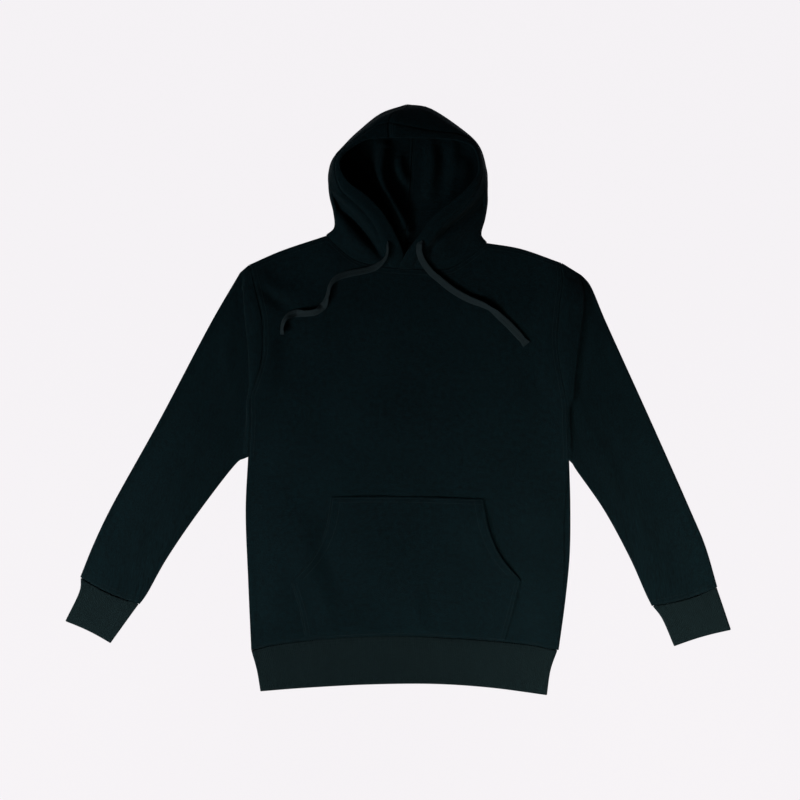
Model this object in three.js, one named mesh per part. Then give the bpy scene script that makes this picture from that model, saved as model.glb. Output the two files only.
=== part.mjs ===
// A pullover hoodie laid flat on its back, in millimetres.
// +X is the wearer's left, +Y runs from the hem to the hood, +Z is up, and z = 0 is the table.
import * as THREE from 'three';

// Cloth and sewing.
const FLEECE = 2.4;
const RIB_RAISE = 0.5;
const RIB_PITCH = 6;
const SEAM_GAP = 0.3;
const HEM_BAND_GAP = 0.5;
const NECK_GAP = 0.4;
const CUFF_GATHER = 0.012;
const POCKET_CLEAR = 0.7;
const LAYER_GAP = 0.4;
const HEM_EXTRA = 1.6;

// The two layers of a garment that lies flat: heights of the middle of each wall.
const LOW = FLEECE / 2;
const HIGH = FLEECE * 1.5 + LAYER_GAP;
const TURN = (HIGH - LOW) / 2;
const EDGE_INSET = TURN + FLEECE / 2;

// Air under the front panel, and how far in from its edges it is reached.
const CROWN = 3;
const CROWN_RAMP = 60;
const NECK_LEVEL = 205;
const HEM_LEVEL = -385;

// Where the sleeve folds under at the armhole.
const FOLD_ARC = 4.7;
const FOLD_RAMP = 50;

// Drawcord, a flat braid.
const CORD_WIDTH = 14;
const CORD_THICK = 2.6;
const CORD_CLEAR = 0.9;
const CORD_STEPS = 36;

// Outline of the body: points run from the hem up, or from the wearer's right to the left.
const HEM_SEAM = [
  { x: -238, y: -405 },
  { x: -198, y: -396 },
  { x: -120, y: -387 },
  { x: -12, y: -382 },
  { x: 100, y: -386 },
  { x: 211, y: -396 },
  { x: 258, y: -405 },
];
const HEM_EDGE = [
  { x: -223, y: -472 },
  { x: -160, y: -467 },
  { x: -50, y: -461 },
  { x: 60, y: -460 },
  { x: 150, y: -466 },
  { x: 241, y: -478 },
];
const SIDE_RIGHT = [
  { x: -238, y: -405 },
  { x: -243, y: -292 },
  { x: -247, y: -178 },
  { x: -243, y: -92 },
];
const SIDE_LEFT_FRONT = [
  { x: 258, y: -405 },
  { x: 265, y: -340 },
  { x: 269, y: -280 },
  { x: 269, y: -200 },
  { x: 277, y: -97 },
];
const SIDE_LEFT_BACK = [
  { x: 260, y: -405 },
  { x: 271, y: -324 },
  { x: 278, y: -250 },
  { x: 279, y: -170 },
  { x: 277, y: -97 },
];
const SHOULDER_RIGHT = [
  { x: -241, y: 219 },
  { x: -191, y: 241 },
  { x: -117, y: 267 },
];
const SHOULDER_LEFT = [
  { x: 144, y: 255 },
  { x: 198, y: 245 },
  { x: 264, y: 222 },
];

// Armhole seams of the front. strip is the sleeve cloth seen between the seam and its fold edge,
// angle is how far the cloth turns under there, and tuck is what lies hidden below the strip.
const ARMHOLE_RIGHT = [
  { x: -241, y: 219, strip: 6, angle: 12, tuck: 0.6 },
  { x: -234, y: 190, strip: 18, angle: 70, tuck: 1 },
  { x: -227, y: 162, strip: 24, angle: 130, tuck: 4 },
  { x: -220, y: 128, strip: 28, angle: 170, tuck: 8 },
  { x: -220, y: 73, strip: 23, angle: 170, tuck: 8 },
  { x: -233, y: 24, strip: 9, angle: 130, tuck: 2 },
  { x: -240, y: 4, strip: 4, angle: 100, tuck: 0.8 },
  { x: -240, y: -34, strip: 3, angle: 70, tuck: 0.6 },
  { x: -243, y: -92, strip: 3, angle: 12, tuck: 0.6 },
];
const ARMHOLE_LEFT = [
  { x: 264, y: 222, strip: 8, angle: 12, tuck: 0.6 },
  { x: 267, y: 190, strip: 30, angle: 110, tuck: 2 },
  { x: 262, y: 150, strip: 36, angle: 170, tuck: 10 },
  { x: 258, y: 96, strip: 34, angle: 180, tuck: 14 },
  { x: 262, y: 57, strip: 24, angle: 180, tuck: 11 },
  { x: 267, y: 29, strip: 16, angle: 170, tuck: 6 },
  { x: 274, y: -13, strip: 5, angle: 130, tuck: 0.8 },
  { x: 275, y: -49, strip: 3, angle: 90, tuck: 0.6 },
  { x: 277, y: -97, strip: 3, angle: 12, tuck: 0.6 },
];
const ARMHOLE_BACK_RIGHT = [
  { x: -241, y: 219 },
  { x: -229, y: 130 },
  { x: -230, y: 20 },
  { x: -243, y: -92 },
];
const ARMHOLE_BACK_LEFT = [
  { x: 264, y: 222 },
  { x: 256, y: 130 },
  { x: 260, y: 20 },
  { x: 277, y: -97 },
];

// Sleeves and cuffs, each from the armhole or seam outwards.
const SLEEVE_RIGHT = {
  outer: [
    { x: -253, y: 211 },
    { x: -300, y: 130 },
    { x: -386, y: -32 },
    { x: -467, y: -178 },
    { x: -494, y: -235 },
    { x: -515, y: -287 },
  ],
  inner: [
    { x: -258, y: -98 },
    { x: -321, y: -178 },
    { x: -376, y: -259 },
    { x: -408, y: -316 },
    { x: -419, y: -331 },
  ],
  seamBow: 4,
};
const SLEEVE_LEFT = {
  outer: [
    { x: 282, y: 213 },
    { x: 305, y: 194 },
    { x: 334, y: 130 },
    { x: 408, y: -32 },
    { x: 473, y: -178 },
    { x: 497, y: -235 },
    { x: 517, y: -303 },
  ],
  inner: [
    { x: 289, y: -112 },
    { x: 334, y: -178 },
    { x: 377, y: -259 },
    { x: 402, y: -316 },
    { x: 411, y: -334 },
  ],
  seamBow: 4,
};
const CUFF_RIGHT = {
  outer: [{ x: -514, y: -288 }, { x: -515, y: -306 }, { x: -539, y: -358 }],
  inner: [{ x: -420, y: -331 }, { x: -437, y: -354 }, { x: -466, y: -394 }],
  endBow: -2,
};
const CUFF_LEFT = {
  outer: [{ x: 516, y: -303 }, { x: 523, y: -324 }, { x: 539, y: -372 }],
  inner: [{ x: 412, y: -334 }, { x: 426, y: -352 }, { x: 447, y: -399 }],
  endBow: -2,
};

// Kangaroo pocket.
const POCKET_TOP = [{ x: -108, y: -156 }, { x: 15, y: -156 }, { x: 138, y: -160 }];
const POCKET_FOOT = [{ x: -151, y: -384 }, { x: 10, y: -378 }, { x: 174, y: -388 }];
const POCKET_RIGHT = {
  foot: [{ x: -151, y: -384 }, { x: -160, y: -338 }, { x: -173, y: -296 }],
  opening: [{ x: -173, y: -296 }, { x: -138, y: -254 }, { x: -118, y: -210 }, { x: -108, y: -156 }],
};
const POCKET_LEFT = {
  foot: [{ x: 174, y: -388 }, { x: 187, y: -340 }, { x: 199, y: -292 }],
  opening: [{ x: 199, y: -292 }, { x: 167, y: -254 }, { x: 147, y: -208 }, { x: 138, y: -160 }],
};
const POCKET_LIP = 2;
const POCKET_LIP_WIDTH = 22;

// The hood, one table row for each section, at a share of the way from the neck seam to the crown.
// rim is the edge of the opening, hem its stitched line, shelf the cloth outside that, and side
// the outermost point. out is the way that side faces, in degrees, half and depth are its height
// and width as a bend, and mid lies on the table between the side and the centre seam.
const HOOD_RIGHT_TOP = [
  { at: 0, rim: [10, 216, HIGH], hem: [-14, 215, HIGH], shelf: [-71, 228, HIGH] },
  { at: 0.12, rim: [0, 246, 18], hem: [-22, 240, 17], shelf: [-66, 251, 14] },
  { at: 0.28, rim: [-20, 297, 36], hem: [-39, 283, 34], shelf: [-74, 284, 20] },
  { at: 0.44, rim: [-50, 330, 43], hem: [-66, 315, 39], shelf: [-92, 314, 27] },
  { at: 0.56, rim: [-78, 351, 45], hem: [-92, 339, 39], shelf: [-103, 338, 31] },
  { at: 0.66, rim: [-91, 371, 46], hem: [-101, 367, 41], shelf: [-106, 366, 35] },
  { at: 0.75, rim: [-91, 389, 46], hem: [-98, 391, 42], shelf: [-102, 392, 36] },
  { at: 0.84, rim: [-76, 405, 46], hem: [-81, 410, 42], shelf: [-83, 412, 37] },
  { at: 0.91, rim: [-52, 418, 47], hem: [-58, 427, 44], shelf: [-60, 431, 39] },
  { at: 0.96, rim: [-33, 421, 48], hem: [-35, 442, 46], shelf: [-31, 452, 42] },
  { at: 1, rim: [-15, 422, 48], hem: [-15, 447, 47], shelf: [-8, 462, 42] },
];
const HOOD_RIGHT_SIDE = [
  { at: 0, side: [-117, 267], out: 139, half: TURN, depth: TURN, mid: [-55, 259] },
  { at: 0.12, side: [-104, 279], out: 170, half: 5, depth: 5, mid: [-48, 270] },
  { at: 0.28, side: [-105, 303], out: 182, half: 9, depth: 8, mid: [-46, 297] },
  { at: 0.44, side: [-111, 328], out: 178, half: 12, depth: 8, mid: [-46, 326] },
  { at: 0.56, side: [-113, 346], out: 178, half: 14, depth: 7, mid: [-46, 346] },
  { at: 0.66, side: [-113, 367], out: 178, half: 15, depth: 6, mid: [-46, 364] },
  { at: 0.75, side: [-106, 390], out: 160, half: 16, depth: 5, mid: [-43, 385] },
  { at: 0.84, side: [-84, 416], out: 140, half: 16, depth: 5, mid: [-36, 405] },
  { at: 0.91, side: [-62, 437], out: 130, half: 16, depth: 6, mid: [-22, 422] },
  { at: 0.96, side: [-27, 464], out: 112, half: 17, depth: 10, mid: [-4, 442] },
  { at: 1, side: [14, 478], out: 90, half: 17, depth: 12, mid: [20, 461] },
];
const HOOD_LEFT_TOP = [
  { at: 0, rim: [0, 214, HIGH + 3.4], hem: [24, 213, HIGH + 1], shelf: [82, 214, HIGH] },
  { at: 0.12, rim: [14, 240, 25], hem: [36, 234, 20], shelf: [84, 240, 12] },
  { at: 0.28, rim: [36, 269, 37], hem: [56, 256, 32], shelf: [98, 266, 18] },
  { at: 0.44, rim: [60, 301, 43], hem: [79, 287, 38], shelf: [112, 290, 25] },
  { at: 0.56, rim: [88, 322, 45], hem: [104, 310, 39], shelf: [125, 318, 31] },
  { at: 0.66, rim: [114, 345, 46], hem: [127, 341, 41], shelf: [134, 345, 35] },
  { at: 0.75, rim: [129, 370, 46], hem: [134, 371, 42], shelf: [137, 372, 37] },
  { at: 0.84, rim: [121, 405, 46], hem: [125, 409, 43], shelf: [127, 411, 38] },
  { at: 0.91, rim: [95, 417, 47], hem: [97, 427, 44], shelf: [99, 433, 40] },
  { at: 0.96, rim: [50, 421, 48], hem: [52, 434, 46], shelf: [56, 448, 42] },
  { at: 1, rim: [-15, 422, 48], hem: [-15, 447, 47], shelf: [-8, 462, 42] },
];
const HOOD_LEFT_SIDE = [
  { at: 0, side: [144, 255], out: 33, half: TURN, depth: TURN, mid: [80, 254] },
  { at: 0.12, side: [135, 268], out: 8, half: 5, depth: 5, mid: [75, 268] },
  { at: 0.28, side: [141, 293], out: -4, half: 9, depth: 8, mid: [78, 294] },
  { at: 0.44, side: [145, 318], out: 0, half: 12, depth: 9, mid: [80, 322] },
  { at: 0.56, side: [145, 337], out: 0, half: 14, depth: 8, mid: [82, 345] },
  { at: 0.66, side: [145, 354], out: 2, half: 15, depth: 7, mid: [82, 362] },
  { at: 0.75, side: [143, 374], out: 8, half: 16, depth: 6, mid: [80, 380] },
  { at: 0.84, side: [131, 411], out: 32, half: 16, depth: 5, mid: [72, 405] },
  { at: 0.91, side: [102, 439], out: 52, half: 16, depth: 6, mid: [62, 424] },
  { at: 0.96, side: [51, 472], out: 72, half: 17, depth: 11, mid: [42, 446] },
  { at: 1, side: [14, 478], out: 90, half: 17, depth: 12, mid: [20, 461] },
];
const HOOD_SEAM = [
  { at: 0, x: 13, y: 254 },
  { at: 0.12, x: 13, y: 268 },
  { at: 0.28, x: 15, y: 296 },
  { at: 0.44, x: 18, y: 326 },
  { at: 0.56, x: 20, y: 346 },
  { at: 0.66, x: 21, y: 363 },
  { at: 0.75, x: 22, y: 381 },
  { at: 0.84, x: 23, y: 398 },
  { at: 0.91, x: 24, y: 414 },
  { at: 0.96, x: 24, y: 430 },
  { at: 1, x: 24, y: 446 },
];
const HOOD_SECTIONS = 16;
const BEND_ANGLES = [30, 90, 150, 180];

// Largest folds: a soft trough or ridge along a line, with its half width and its rise.
const HOOD_OUTSIDE_FOLDS = [
  { line: [[-108, 331], [-71, 293], [-28, 254]], width: 9, rise: -9 },
  { line: [[-96, 291], [-72, 262], [-50, 243]], width: 11, rise: 4 },
  { line: [[141, 330], [87, 283], [50, 256]], width: 8, rise: -9 },
  { line: [[128, 296], [92, 266], [62, 243]], width: 11, rise: 4 },
];
const HOOD_INSIDE_FOLDS = [
  { line: [[-28, 408], [-35, 366], [-22, 326], [4, 292]], width: 9, rise: 10 },
  { line: [[-4, 402], [-6, 372], [2, 340]], width: 7, rise: 5 },
  { line: [[48, 410], [49, 370], [42, 325]], width: 9, rise: 8 },
  { line: [[96, 400], [98, 366], [84, 334]], width: 13, rise: 8 },
];
const BODY_FOLDS = [
  { line: [[-236, 192], [-206, 168], [-180, 150]], width: 9, rise: -1.6 },
];

// Drawcord ends, along the cloth from the hem of the hood to the tip.
const CORD_RIGHT = [
  { x: -17, y: 262, z: 31.4 },
  { x: -17, y: 252, z: 27.4 },
  { x: -17, y: 241, z: 22.8 },
  { x: -20, y: 230, z: 17.4 },
  { x: -30, y: 219, z: 10.2 },
  { x: -44, y: 212 },
  { x: -62, y: 208 },
  { x: -81, y: 204 },
  { x: -98, y: 198 },
  { x: -109, y: 187 },
  { x: -114, y: 170 },
  { x: -120, y: 154 },
  { x: -132, y: 143 },
  { x: -150, y: 140 },
  { x: -168, y: 140 },
  { x: -181, y: 133 },
  { x: -187, y: 120 },
  { x: -187, y: 106 },
];
const CORD_LEFT = [
  { x: 39, y: 263, z: 40.6 },
  { x: 35, y: 253, z: 36.9 },
  { x: 34, y: 242, z: 31.9 },
  { x: 37, y: 230, z: 23.5 },
  { x: 44, y: 218, z: 14.1 },
  { x: 54, y: 206, z: 8.4 },
  { x: 68, y: 194 },
  { x: 84, y: 181 },
  { x: 101, y: 170 },
  { x: 119, y: 161 },
  { x: 137, y: 154 },
  { x: 153, y: 145 },
  { x: 168, y: 132 },
  { x: 182, y: 119 },
  { x: 196, y: 104 },
  { x: 208, y: 90 },
];

const FLEECE_LOOK = { color: 0x05090b, roughness: 0.95, metalness: 0 };
const RIB_LOOK = { color: 0x0b1214, roughness: 0.92, metalness: 0 };
const CORD_LOOK = { color: 0x10171b, roughness: 0.8, metalness: 0 };

const vec = (x, y, z = 0) => new THREE.Vector3(x, y, z);
const mix = (a, b, share) => a.clone().lerp(b, share);
const ramp = (value) => THREE.MathUtils.smoothstep(value, 0, 1);
const radians = THREE.MathUtils.degToRad;

// A smooth flat line through rows of x and y, read by its share of length.
function lineThrough(rows) {
  const curve = new THREE.CatmullRomCurve3(rows.map((row) => vec(row.x, row.y)), false, 'centripetal');
  curve.arcLengthDivisions = 300;
  return (share) => curve.getPointAt(THREE.MathUtils.clamp(share, 0, 1));
}

// A line that runs straight from point to point, read by its share of the points.
function straightThrough(points) {
  return (share) => {
    const place = THREE.MathUtils.clamp(share, 0, 1) * (points.length - 1);
    const index = Math.min(Math.floor(place + 1e-9), points.length - 2);
    return mix(points[index], points[index + 1], place - index).setZ(0);
  };
}

// The seam line of an armhole table, read by its share of length.
function armholeSeam(rows) {
  const table = withShares(rows);
  return (share) => vec(readColumn(table, share, (r) => r.x), readColumn(table, share, (r) => r.y));
}

// Lines set end to end, each given its share of the whole.
function joinLines(parts) {
  return (share) => {
    let start = 0;
    for (const part of parts) {
      const end = start + part.share;
      if (share <= end + 1e-9) return part.line((share - start) / part.share);
      start = end;
    }
    return parts.at(-1).line(1);
  };
}

// Slope of a column at one row, from the rows beside it.
function slopeAt(rows, index, read) {
  const before = rows[Math.max(index - 1, 0)];
  const after = rows[Math.min(index + 1, rows.length - 1)];
  return (read(after) - read(before)) / (after.at - before.at);
}

// Reads one column of a table smoothly at any share.
function readColumn(rows, at, read) {
  let index = 0;
  while (index < rows.length - 2 && rows[index + 1].at < at) index += 1;
  const [low, high] = [rows[index], rows[index + 1]];
  const span = high.at - low.at;
  const t = THREE.MathUtils.clamp((at - low.at) / span, 0, 1);
  const [t2, t3] = [t * t, t * t * t];
  return (2 * t3 - 3 * t2 + 1) * read(low) + (t3 - 2 * t2 + t) * span * slopeAt(rows, index, read)
    + (3 * t2 - 2 * t3) * read(high) + (t3 - t2) * span * slopeAt(rows, index + 1, read);
}

// A point of the table at any share, from a column that holds x, y and perhaps z.
function readPoint(rows, at, column) {
  const parts = rows[0][column].map((_, axis) => readColumn(rows, at, (row) => row[column][axis]));
  return vec(...parts);
}

// Gives each row its share of the length of the line through the rows.
function withShares(rows) {
  const lengths = [0];
  for (let i = 1; i < rows.length; i += 1) {
    lengths.push(lengths[i - 1] + Math.hypot(rows[i].x - rows[i - 1].x, rows[i].y - rows[i - 1].y));
  }
  return rows.map((row, i) => ({ ...row, at: lengths[i] / lengths.at(-1) }));
}

// Height that a table of folds adds at a place, fading out at both ends of each fold.
function foldHeight(folds, x, y) {
  let height = 0;
  for (const fold of folds) {
    const steps = 24;
    let nearest = Infinity;
    let share = 0;
    for (let i = 0; i <= steps; i += 1) {
      const point = fold.path(i / steps);
      const distance = Math.hypot(point.x - x, point.y - y);
      if (distance < nearest) [nearest, share] = [distance, i / steps];
    }
    const fade = Math.sin(Math.PI * THREE.MathUtils.clamp(share, 0.03, 0.97)) ** 0.5;
    height += fold.rise * fade * Math.exp(-((nearest / fold.width) ** 2));
  }
  return height;
}

const withPaths = (folds) => folds.map((fold) => ({
  ...fold,
  path: lineThrough(fold.line.map(([x, y]) => ({ x, y }))),
}));
const hoodOutsideFolds = withPaths(HOOD_OUTSIDE_FOLDS);
const hoodInsideFolds = withPaths(HOOD_INSIDE_FOLDS);
const bodyFolds = withPaths(BODY_FOLDS);

// A four-sided sheet between its edge lines.
function sheetBetween(foot, top, right, left) {
  return (u, v) => {
    const rise = mix(foot(u), top(u), v);
    const across = mix(right(v), left(v), u);
    const corners = mix(mix(foot(0), foot(1), u), mix(top(0), top(1), u), v);
    return rise.add(across).sub(corners);
  };
}

// Points of a sheet in rows, with a height for each.
function sheetRows(sheet, columns, rows, heightAt) {
  const grid = [];
  for (let j = 0; j <= rows; j += 1) {
    const row = [];
    for (let i = 0; i <= columns; i += 1) {
      const point = sheet(i / columns, j / rows);
      point.z = heightAt(point.x, point.y, i / columns, j / rows);
      row.push(point);
    }
    grid.push(row);
  }
  return grid;
}

// The two triangles of each quad of a grid, cut along its shorter diagonal.
function gridTriangles(grid, closed) {
  const width = grid[0].length;
  const triangles = [];
  for (let j = 0; j < grid.length - 1; j += 1) {
    for (let i = 0; i < (closed ? width : width - 1); i += 1) {
      const next = (i + 1) % width;
      const [a, b, c, d] = [[j, i], [j, next], [j + 1, next], [j + 1, i]];
      const at = ([row, column]) => grid[row][column];
      if (at(a).distanceTo(at(c)) <= at(b).distanceTo(at(d))) triangles.push([a, b, c], [a, c, d]);
      else triangles.push([a, b, d], [b, c, d]);
    }
  }
  return triangles;
}

// The way that the sheet faces at each of its points.
function gridNormals(grid, closed, sign = 1) {
  const normals = grid.map((row) => row.map(() => vec(0, 0)));
  for (const corners of gridTriangles(grid, closed)) {
    const [a, b, c] = corners.map(([j, i]) => grid[j][i]);
    const face = b.clone().sub(a).cross(c.clone().sub(a)).multiplyScalar(sign);
    corners.forEach(([j, i]) => normals[j][i].add(face));
  }
  normals.forEach((row) => row.forEach((normal) => normal.normalize()));
  return normals;
}

// The open edges of a grid, as pairs of points in order.
function gridEdges(grid, closed) {
  const [height, width] = [grid.length, grid[0].length];
  const edges = [];
  for (let i = 0; i < (closed ? width : width - 1); i += 1) {
    const next = (i + 1) % width;
    edges.push([[0, i], [0, next]], [[height - 1, next], [height - 1, i]]);
  }
  for (let j = 0; j < height - 1 && !closed; j += 1) {
    edges.push([[j + 1, 0], [j, 0]], [[j, width - 1], [j + 1, width - 1]]);
  }
  return edges;
}

// Makes a closed wall from its middle sheet, a thickness over it and one under it.
function wall(grid, { closed = false, normals = gridNormals(grid, closed), over, under } = {}) {
  const width = grid[0].length;
  const half = () => FLEECE / 2;
  const place = (share, sign) => grid.flatMap((row, j) => row.map(
    (point, i) => point.clone().addScaledVector(normals[j][i], sign * share(j, i)),
  ));
  const points = [...place(over ?? half, 1), ...place(under ?? half, -1)];
  const front = ([j, i]) => j * width + i;
  const back = (corner) => front(corner) + grid.length * width;
  const faces = [];
  for (const [a, b, c] of gridTriangles(grid, closed)) {
    faces.push([front(a), front(b), front(c)], [back(c), back(b), back(a)]);
  }
  for (const [a, b] of gridEdges(grid, closed)) {
    faces.push([front(b), front(a), back(a)], [front(b), back(a), back(b)]);
  }
  return closedGeometry(points, faces);
}

// A geometry from points and faces, turned so that its faces point out.
function closedGeometry(points, faces) {
  let volume = 0;
  for (const [a, b, c] of faces) {
    volume += points[a].dot(points[b].clone().cross(points[c]));
  }
  const outward = volume > 0 ? faces : faces.map(([a, b, c]) => [a, c, b]);
  const geometry = new THREE.BufferGeometry();
  geometry.setAttribute('position', new THREE.Float32BufferAttribute(points.flatMap((p) => [...p]), 3));
  geometry.setIndex(outward.flat());
  geometry.computeVertexNormals();
  return geometry;
}

function piece(name, geometry, look) {
  const mesh = new THREE.Mesh(geometry, new THREE.MeshStandardMaterial(look));
  mesh.name = name;
  return mesh;
}

// How the sleeve folds under, in the upright plane across the fold: from the seam out along the
// strip, round a first bend, back below it, and round a second bend to the level of the sleeve.
function foldProfile({ strip, angle, tuck }) {
  const turn = radians(angle);
  const radius = FOLD_ARC / turn;
  const reach = angle > 90 ? radius + FLEECE / 2 : radius * Math.sin(turn);
  const flat = Math.max(strip - reach, 1.2);
  const drop = 2 * radius * (1 - Math.cos(turn)) + tuck * Math.sin(turn);
  const steps = [[0, drop], [flat / 2, drop], [flat, drop]];
  for (const share of [1 / 3, 2 / 3, 1]) {
    const bent = turn * share;
    steps.push([flat + radius * Math.sin(bent), drop - radius * (1 - Math.cos(bent))]);
  }
  const [turnOut, turnLevel] = steps.at(-1);
  const [backOut, backLevel] = [turnOut + tuck * Math.cos(turn), turnLevel - tuck * Math.sin(turn)];
  for (const share of [0, 1 / 3, 2 / 3, 1]) {
    const bent = turn * (1 - share);
    steps.push([
      backOut + radius * (Math.sin(turn) - Math.sin(bent)),
      backLevel - radius * (Math.cos(bent) - Math.cos(turn)),
    ]);
  }
  return { steps, drop };
}

// How much the fold at an armhole lifts the cloth at a height of the body.
function armholeLift(armhole, y) {
  const rows = armhole.map((row) => ({ at: -row.y, drop: foldProfile(row).drop }));
  const top = rows[0].at;
  const foot = rows.at(-1).at;
  const inside = ramp((-y - top + 20) / 20) * ramp((foot + 20 + y) / 20);
  return inside * readColumn(rows, THREE.MathUtils.clamp(-y, top, foot), (row) => row.drop);
}

// Place of an armhole seam, across, at a height of the body.
function armholeX(armhole, y) {
  const rows = armhole.map((row) => ({ at: -row.y, x: row.x }));
  return readColumn(rows, THREE.MathUtils.clamp(-y, rows[0].at, rows.at(-1).at), (row) => row.x);
}

// Underside of the front panel above the table.
function frontUnderside(x, y) {
  const right = armholeX(ARMHOLE_RIGHT, y);
  const left = armholeX(ARMHOLE_LEFT, y);
  const inFromSides = ramp((x - right) / CROWN_RAMP) * ramp((left - x) / CROWN_RAMP);
  const inFromEnds = ramp((NECK_LEVEL - y) / CROWN_RAMP) * ramp((y - HEM_LEVEL) / CROWN_RAMP);
  const crown = inFromSides * inFromEnds * (CROWN + foldHeight(bodyFolds, x, y));
  const lift = armholeLift(ARMHOLE_RIGHT, y) * ramp(1 - (x - right) / FOLD_RAMP)
    + armholeLift(ARMHOLE_LEFT, y) * ramp(1 - (left - x) / FOLD_RAMP);
  return FLEECE + LAYER_GAP + Math.max(crown, 0) + lift;
}

// Key points of one hood section, from the rim over the side and along the table to the seam.
function hoodSection(topRows, sideRows, at) {
  const side = readPoint(sideRows, at, 'side');
  const half = readColumn(sideRows, at, (row) => row.half);
  const depth = readColumn(sideRows, at, (row) => row.depth);
  const angle = radians(readColumn(sideRows, at, (row) => row.out));
  const out = vec(Math.cos(angle), Math.sin(angle));
  const centre = side.clone().addScaledVector(out, -depth - FLEECE / 2);
  const bend = BEND_ANGLES.map((degrees) => {
    const point = centre.clone().addScaledVector(out, depth * Math.sin(radians(degrees)));
    point.z = LOW + half * (1 + Math.cos(radians(degrees)));
    return point;
  });
  const mid = readPoint(sideRows, at, 'mid').setZ(LOW);
  const seam = vec(
    readColumn(HOOD_SEAM, at, (row) => row.x),
    readColumn(HOOD_SEAM, at, (row) => row.y),
    LOW,
  );
  const top = ['rim', 'hem', 'shelf'].map((column) => readPoint(topRows, at, column));
  return [...top, ...bend, mid, seam];
}

// Where a section is sampled: shares between its nine key points, and what each stretch is.
const HOOD_SAMPLES = [
  { from: 0, steps: 2 },
  { from: 1, steps: 2 },
  { from: 2, steps: 2 },
  { from: 3, steps: 1 },
  { from: 4, steps: 1 },
  { from: 5, steps: 1 },
  { from: 6, steps: 3 },
  { from: 7, steps: 4 },
];
const HOOD_KEYS = 9;
const FIRST_TABLE_KEY = 6;

const HOOD_STOPS = HOOD_SAMPLES.flatMap(({ from, steps }) => (
  Array.from({ length: steps }, (_, i) => from + i / steps)
)).concat(HOOD_KEYS - 1);

function hoodRows(topRows, sideRows) {
  const grid = [];
  for (let j = 0; j <= HOOD_SECTIONS; j += 1) {
    const at = j / HOOD_SECTIONS;
    const keys = hoodSection(topRows, sideRows, at);
    const curve = new THREE.CatmullRomCurve3(keys, false, 'centripetal');
    grid.push(HOOD_STOPS.map((stop) => {
      const point = curve.getPoint(stop / (HOOD_KEYS - 1));
      return foldedHoodPoint(point, stop, at);
    }));
  }
  return grid;
}

// Adds the hood's own folds, which fade out at its neck seam.
function foldedHoodPoint(point, stop, at) {
  const fade = ramp(at / 0.1);
  if (stop > FIRST_TABLE_KEY) {
    const inFromBend = ramp((stop - FIRST_TABLE_KEY) / 0.6);
    point.z = Math.max(point.z, LOW);
    point.z += fade * inFromBend * foldHeight(hoodInsideFolds, point.x, point.y);
  } else if (stop > 0.9 && stop < 3) {
    const nearHem = ramp((stop - 0.9) / 0.4);
    point.z += fade * nearHem * foldHeight(hoodOutsideFolds, point.x, point.y);
  }
  return point;
}

// Moves a grid's point a little towards one of its inner points.
function pullIn(grid, j, i, innerJ, innerI, distance) {
  const way = grid[innerJ][innerI].clone().sub(grid[j][i]).normalize();
  return grid[j][i].clone().addScaledVector(way, distance);
}

// Both hood panels. They share the centre seam, so they share the way that it faces.
function hoodPanels() {
  const right = hoodRows(HOOD_RIGHT_TOP, HOOD_RIGHT_SIDE);
  const left = hoodRows(HOOD_LEFT_TOP, HOOD_LEFT_SIDE);
  const rightNormals = gridNormals(right, false, -1);
  const leftNormals = gridNormals(left, false, 1);
  const [lastJ, lastI] = [right.length - 1, right[0].length - 1];
  const share = (j, i) => {
    const both = rightNormals[j][i].clone().add(leftNormals[j][i]).normalize();
    rightNormals[j][i].copy(both);
    leftNormals[j][i].copy(both);
  };
  for (let j = 0; j < lastJ; j += 1) share(j, lastI);
  for (let i = 0; i <= lastI; i += 1) share(lastJ, i);
  return [
    ['hood_right', hoodWall(right, rightNormals)],
    ['hood_left', hoodWall(left, leftNormals)],
  ];
}

function hoodWall(grid, normals) {
  const [lastJ, lastI] = [grid.length - 1, grid[0].length - 1];
  for (let i = 0; i <= lastI; i += 1) {
    const inward = grid[1][i].clone().sub(grid[0][i]).setZ(0).normalize();
    normals[0][i].addScaledVector(inward, -normals[0][i].dot(inward)).normalize();
  }
  const moved = grid.map((row, j) => row.map((point, i) => {
    const innerJ = j === lastJ ? j - 1 : j;
    const innerI = i === lastI ? i - 1 : i;
    if (j === 0) {
      const inward = grid[1][i].clone().sub(point).setZ(0).normalize();
      return point.clone().addScaledVector(inward, NECK_GAP);
    }
    if (innerJ === j && innerI === i) return point;
    return pullIn(grid, j, i, innerJ, innerI, SEAM_GAP / 2);
  }));
  const thick = (j, i) => FLEECE / 2 + (i < 2 ? HEM_EXTRA / 2 : 0) * ramp(j / 2);
  return wall(moved, { normals, over: thick, under: thick });
}

// The neck seam, point by point as the first section of each hood panel has it.
function neckLines() {
  const section = (topRows, sideRows) => {
    const keys = hoodSection(topRows, sideRows, 0);
    const curve = new THREE.CatmullRomCurve3(keys, false, 'centripetal');
    return (from, to) => HOOD_STOPS.filter((stop) => stop >= from && stop <= to)
      .map((stop) => curve.getPoint(stop / (HOOD_KEYS - 1)));
  };
  const right = section(HOOD_RIGHT_TOP, HOOD_RIGHT_SIDE);
  const left = section(HOOD_LEFT_TOP, HOOD_LEFT_SIDE);
  const [hem, bend, seam] = [1, 4, HOOD_KEYS - 1];
  const [frontRight, frontLeft] = [right(hem, bend).reverse(), left(hem, bend)];
  const centre = mix(frontRight.at(-1), frontLeft[0], 0.5);
  const front = [...frontRight, centre, ...frontLeft];
  const back = [...right(bend, seam), ...left(bend, seam).reverse().slice(1)];
  return { front: straightThrough(front), back: straightThrough(back) };
}

// The body's edges, with the shares that put grid lines on its corners.
const SHOULDER_COLUMNS = 3;
const SIDE_ROWS = 4;
const ARMHOLE_ROWS = 12;

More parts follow.
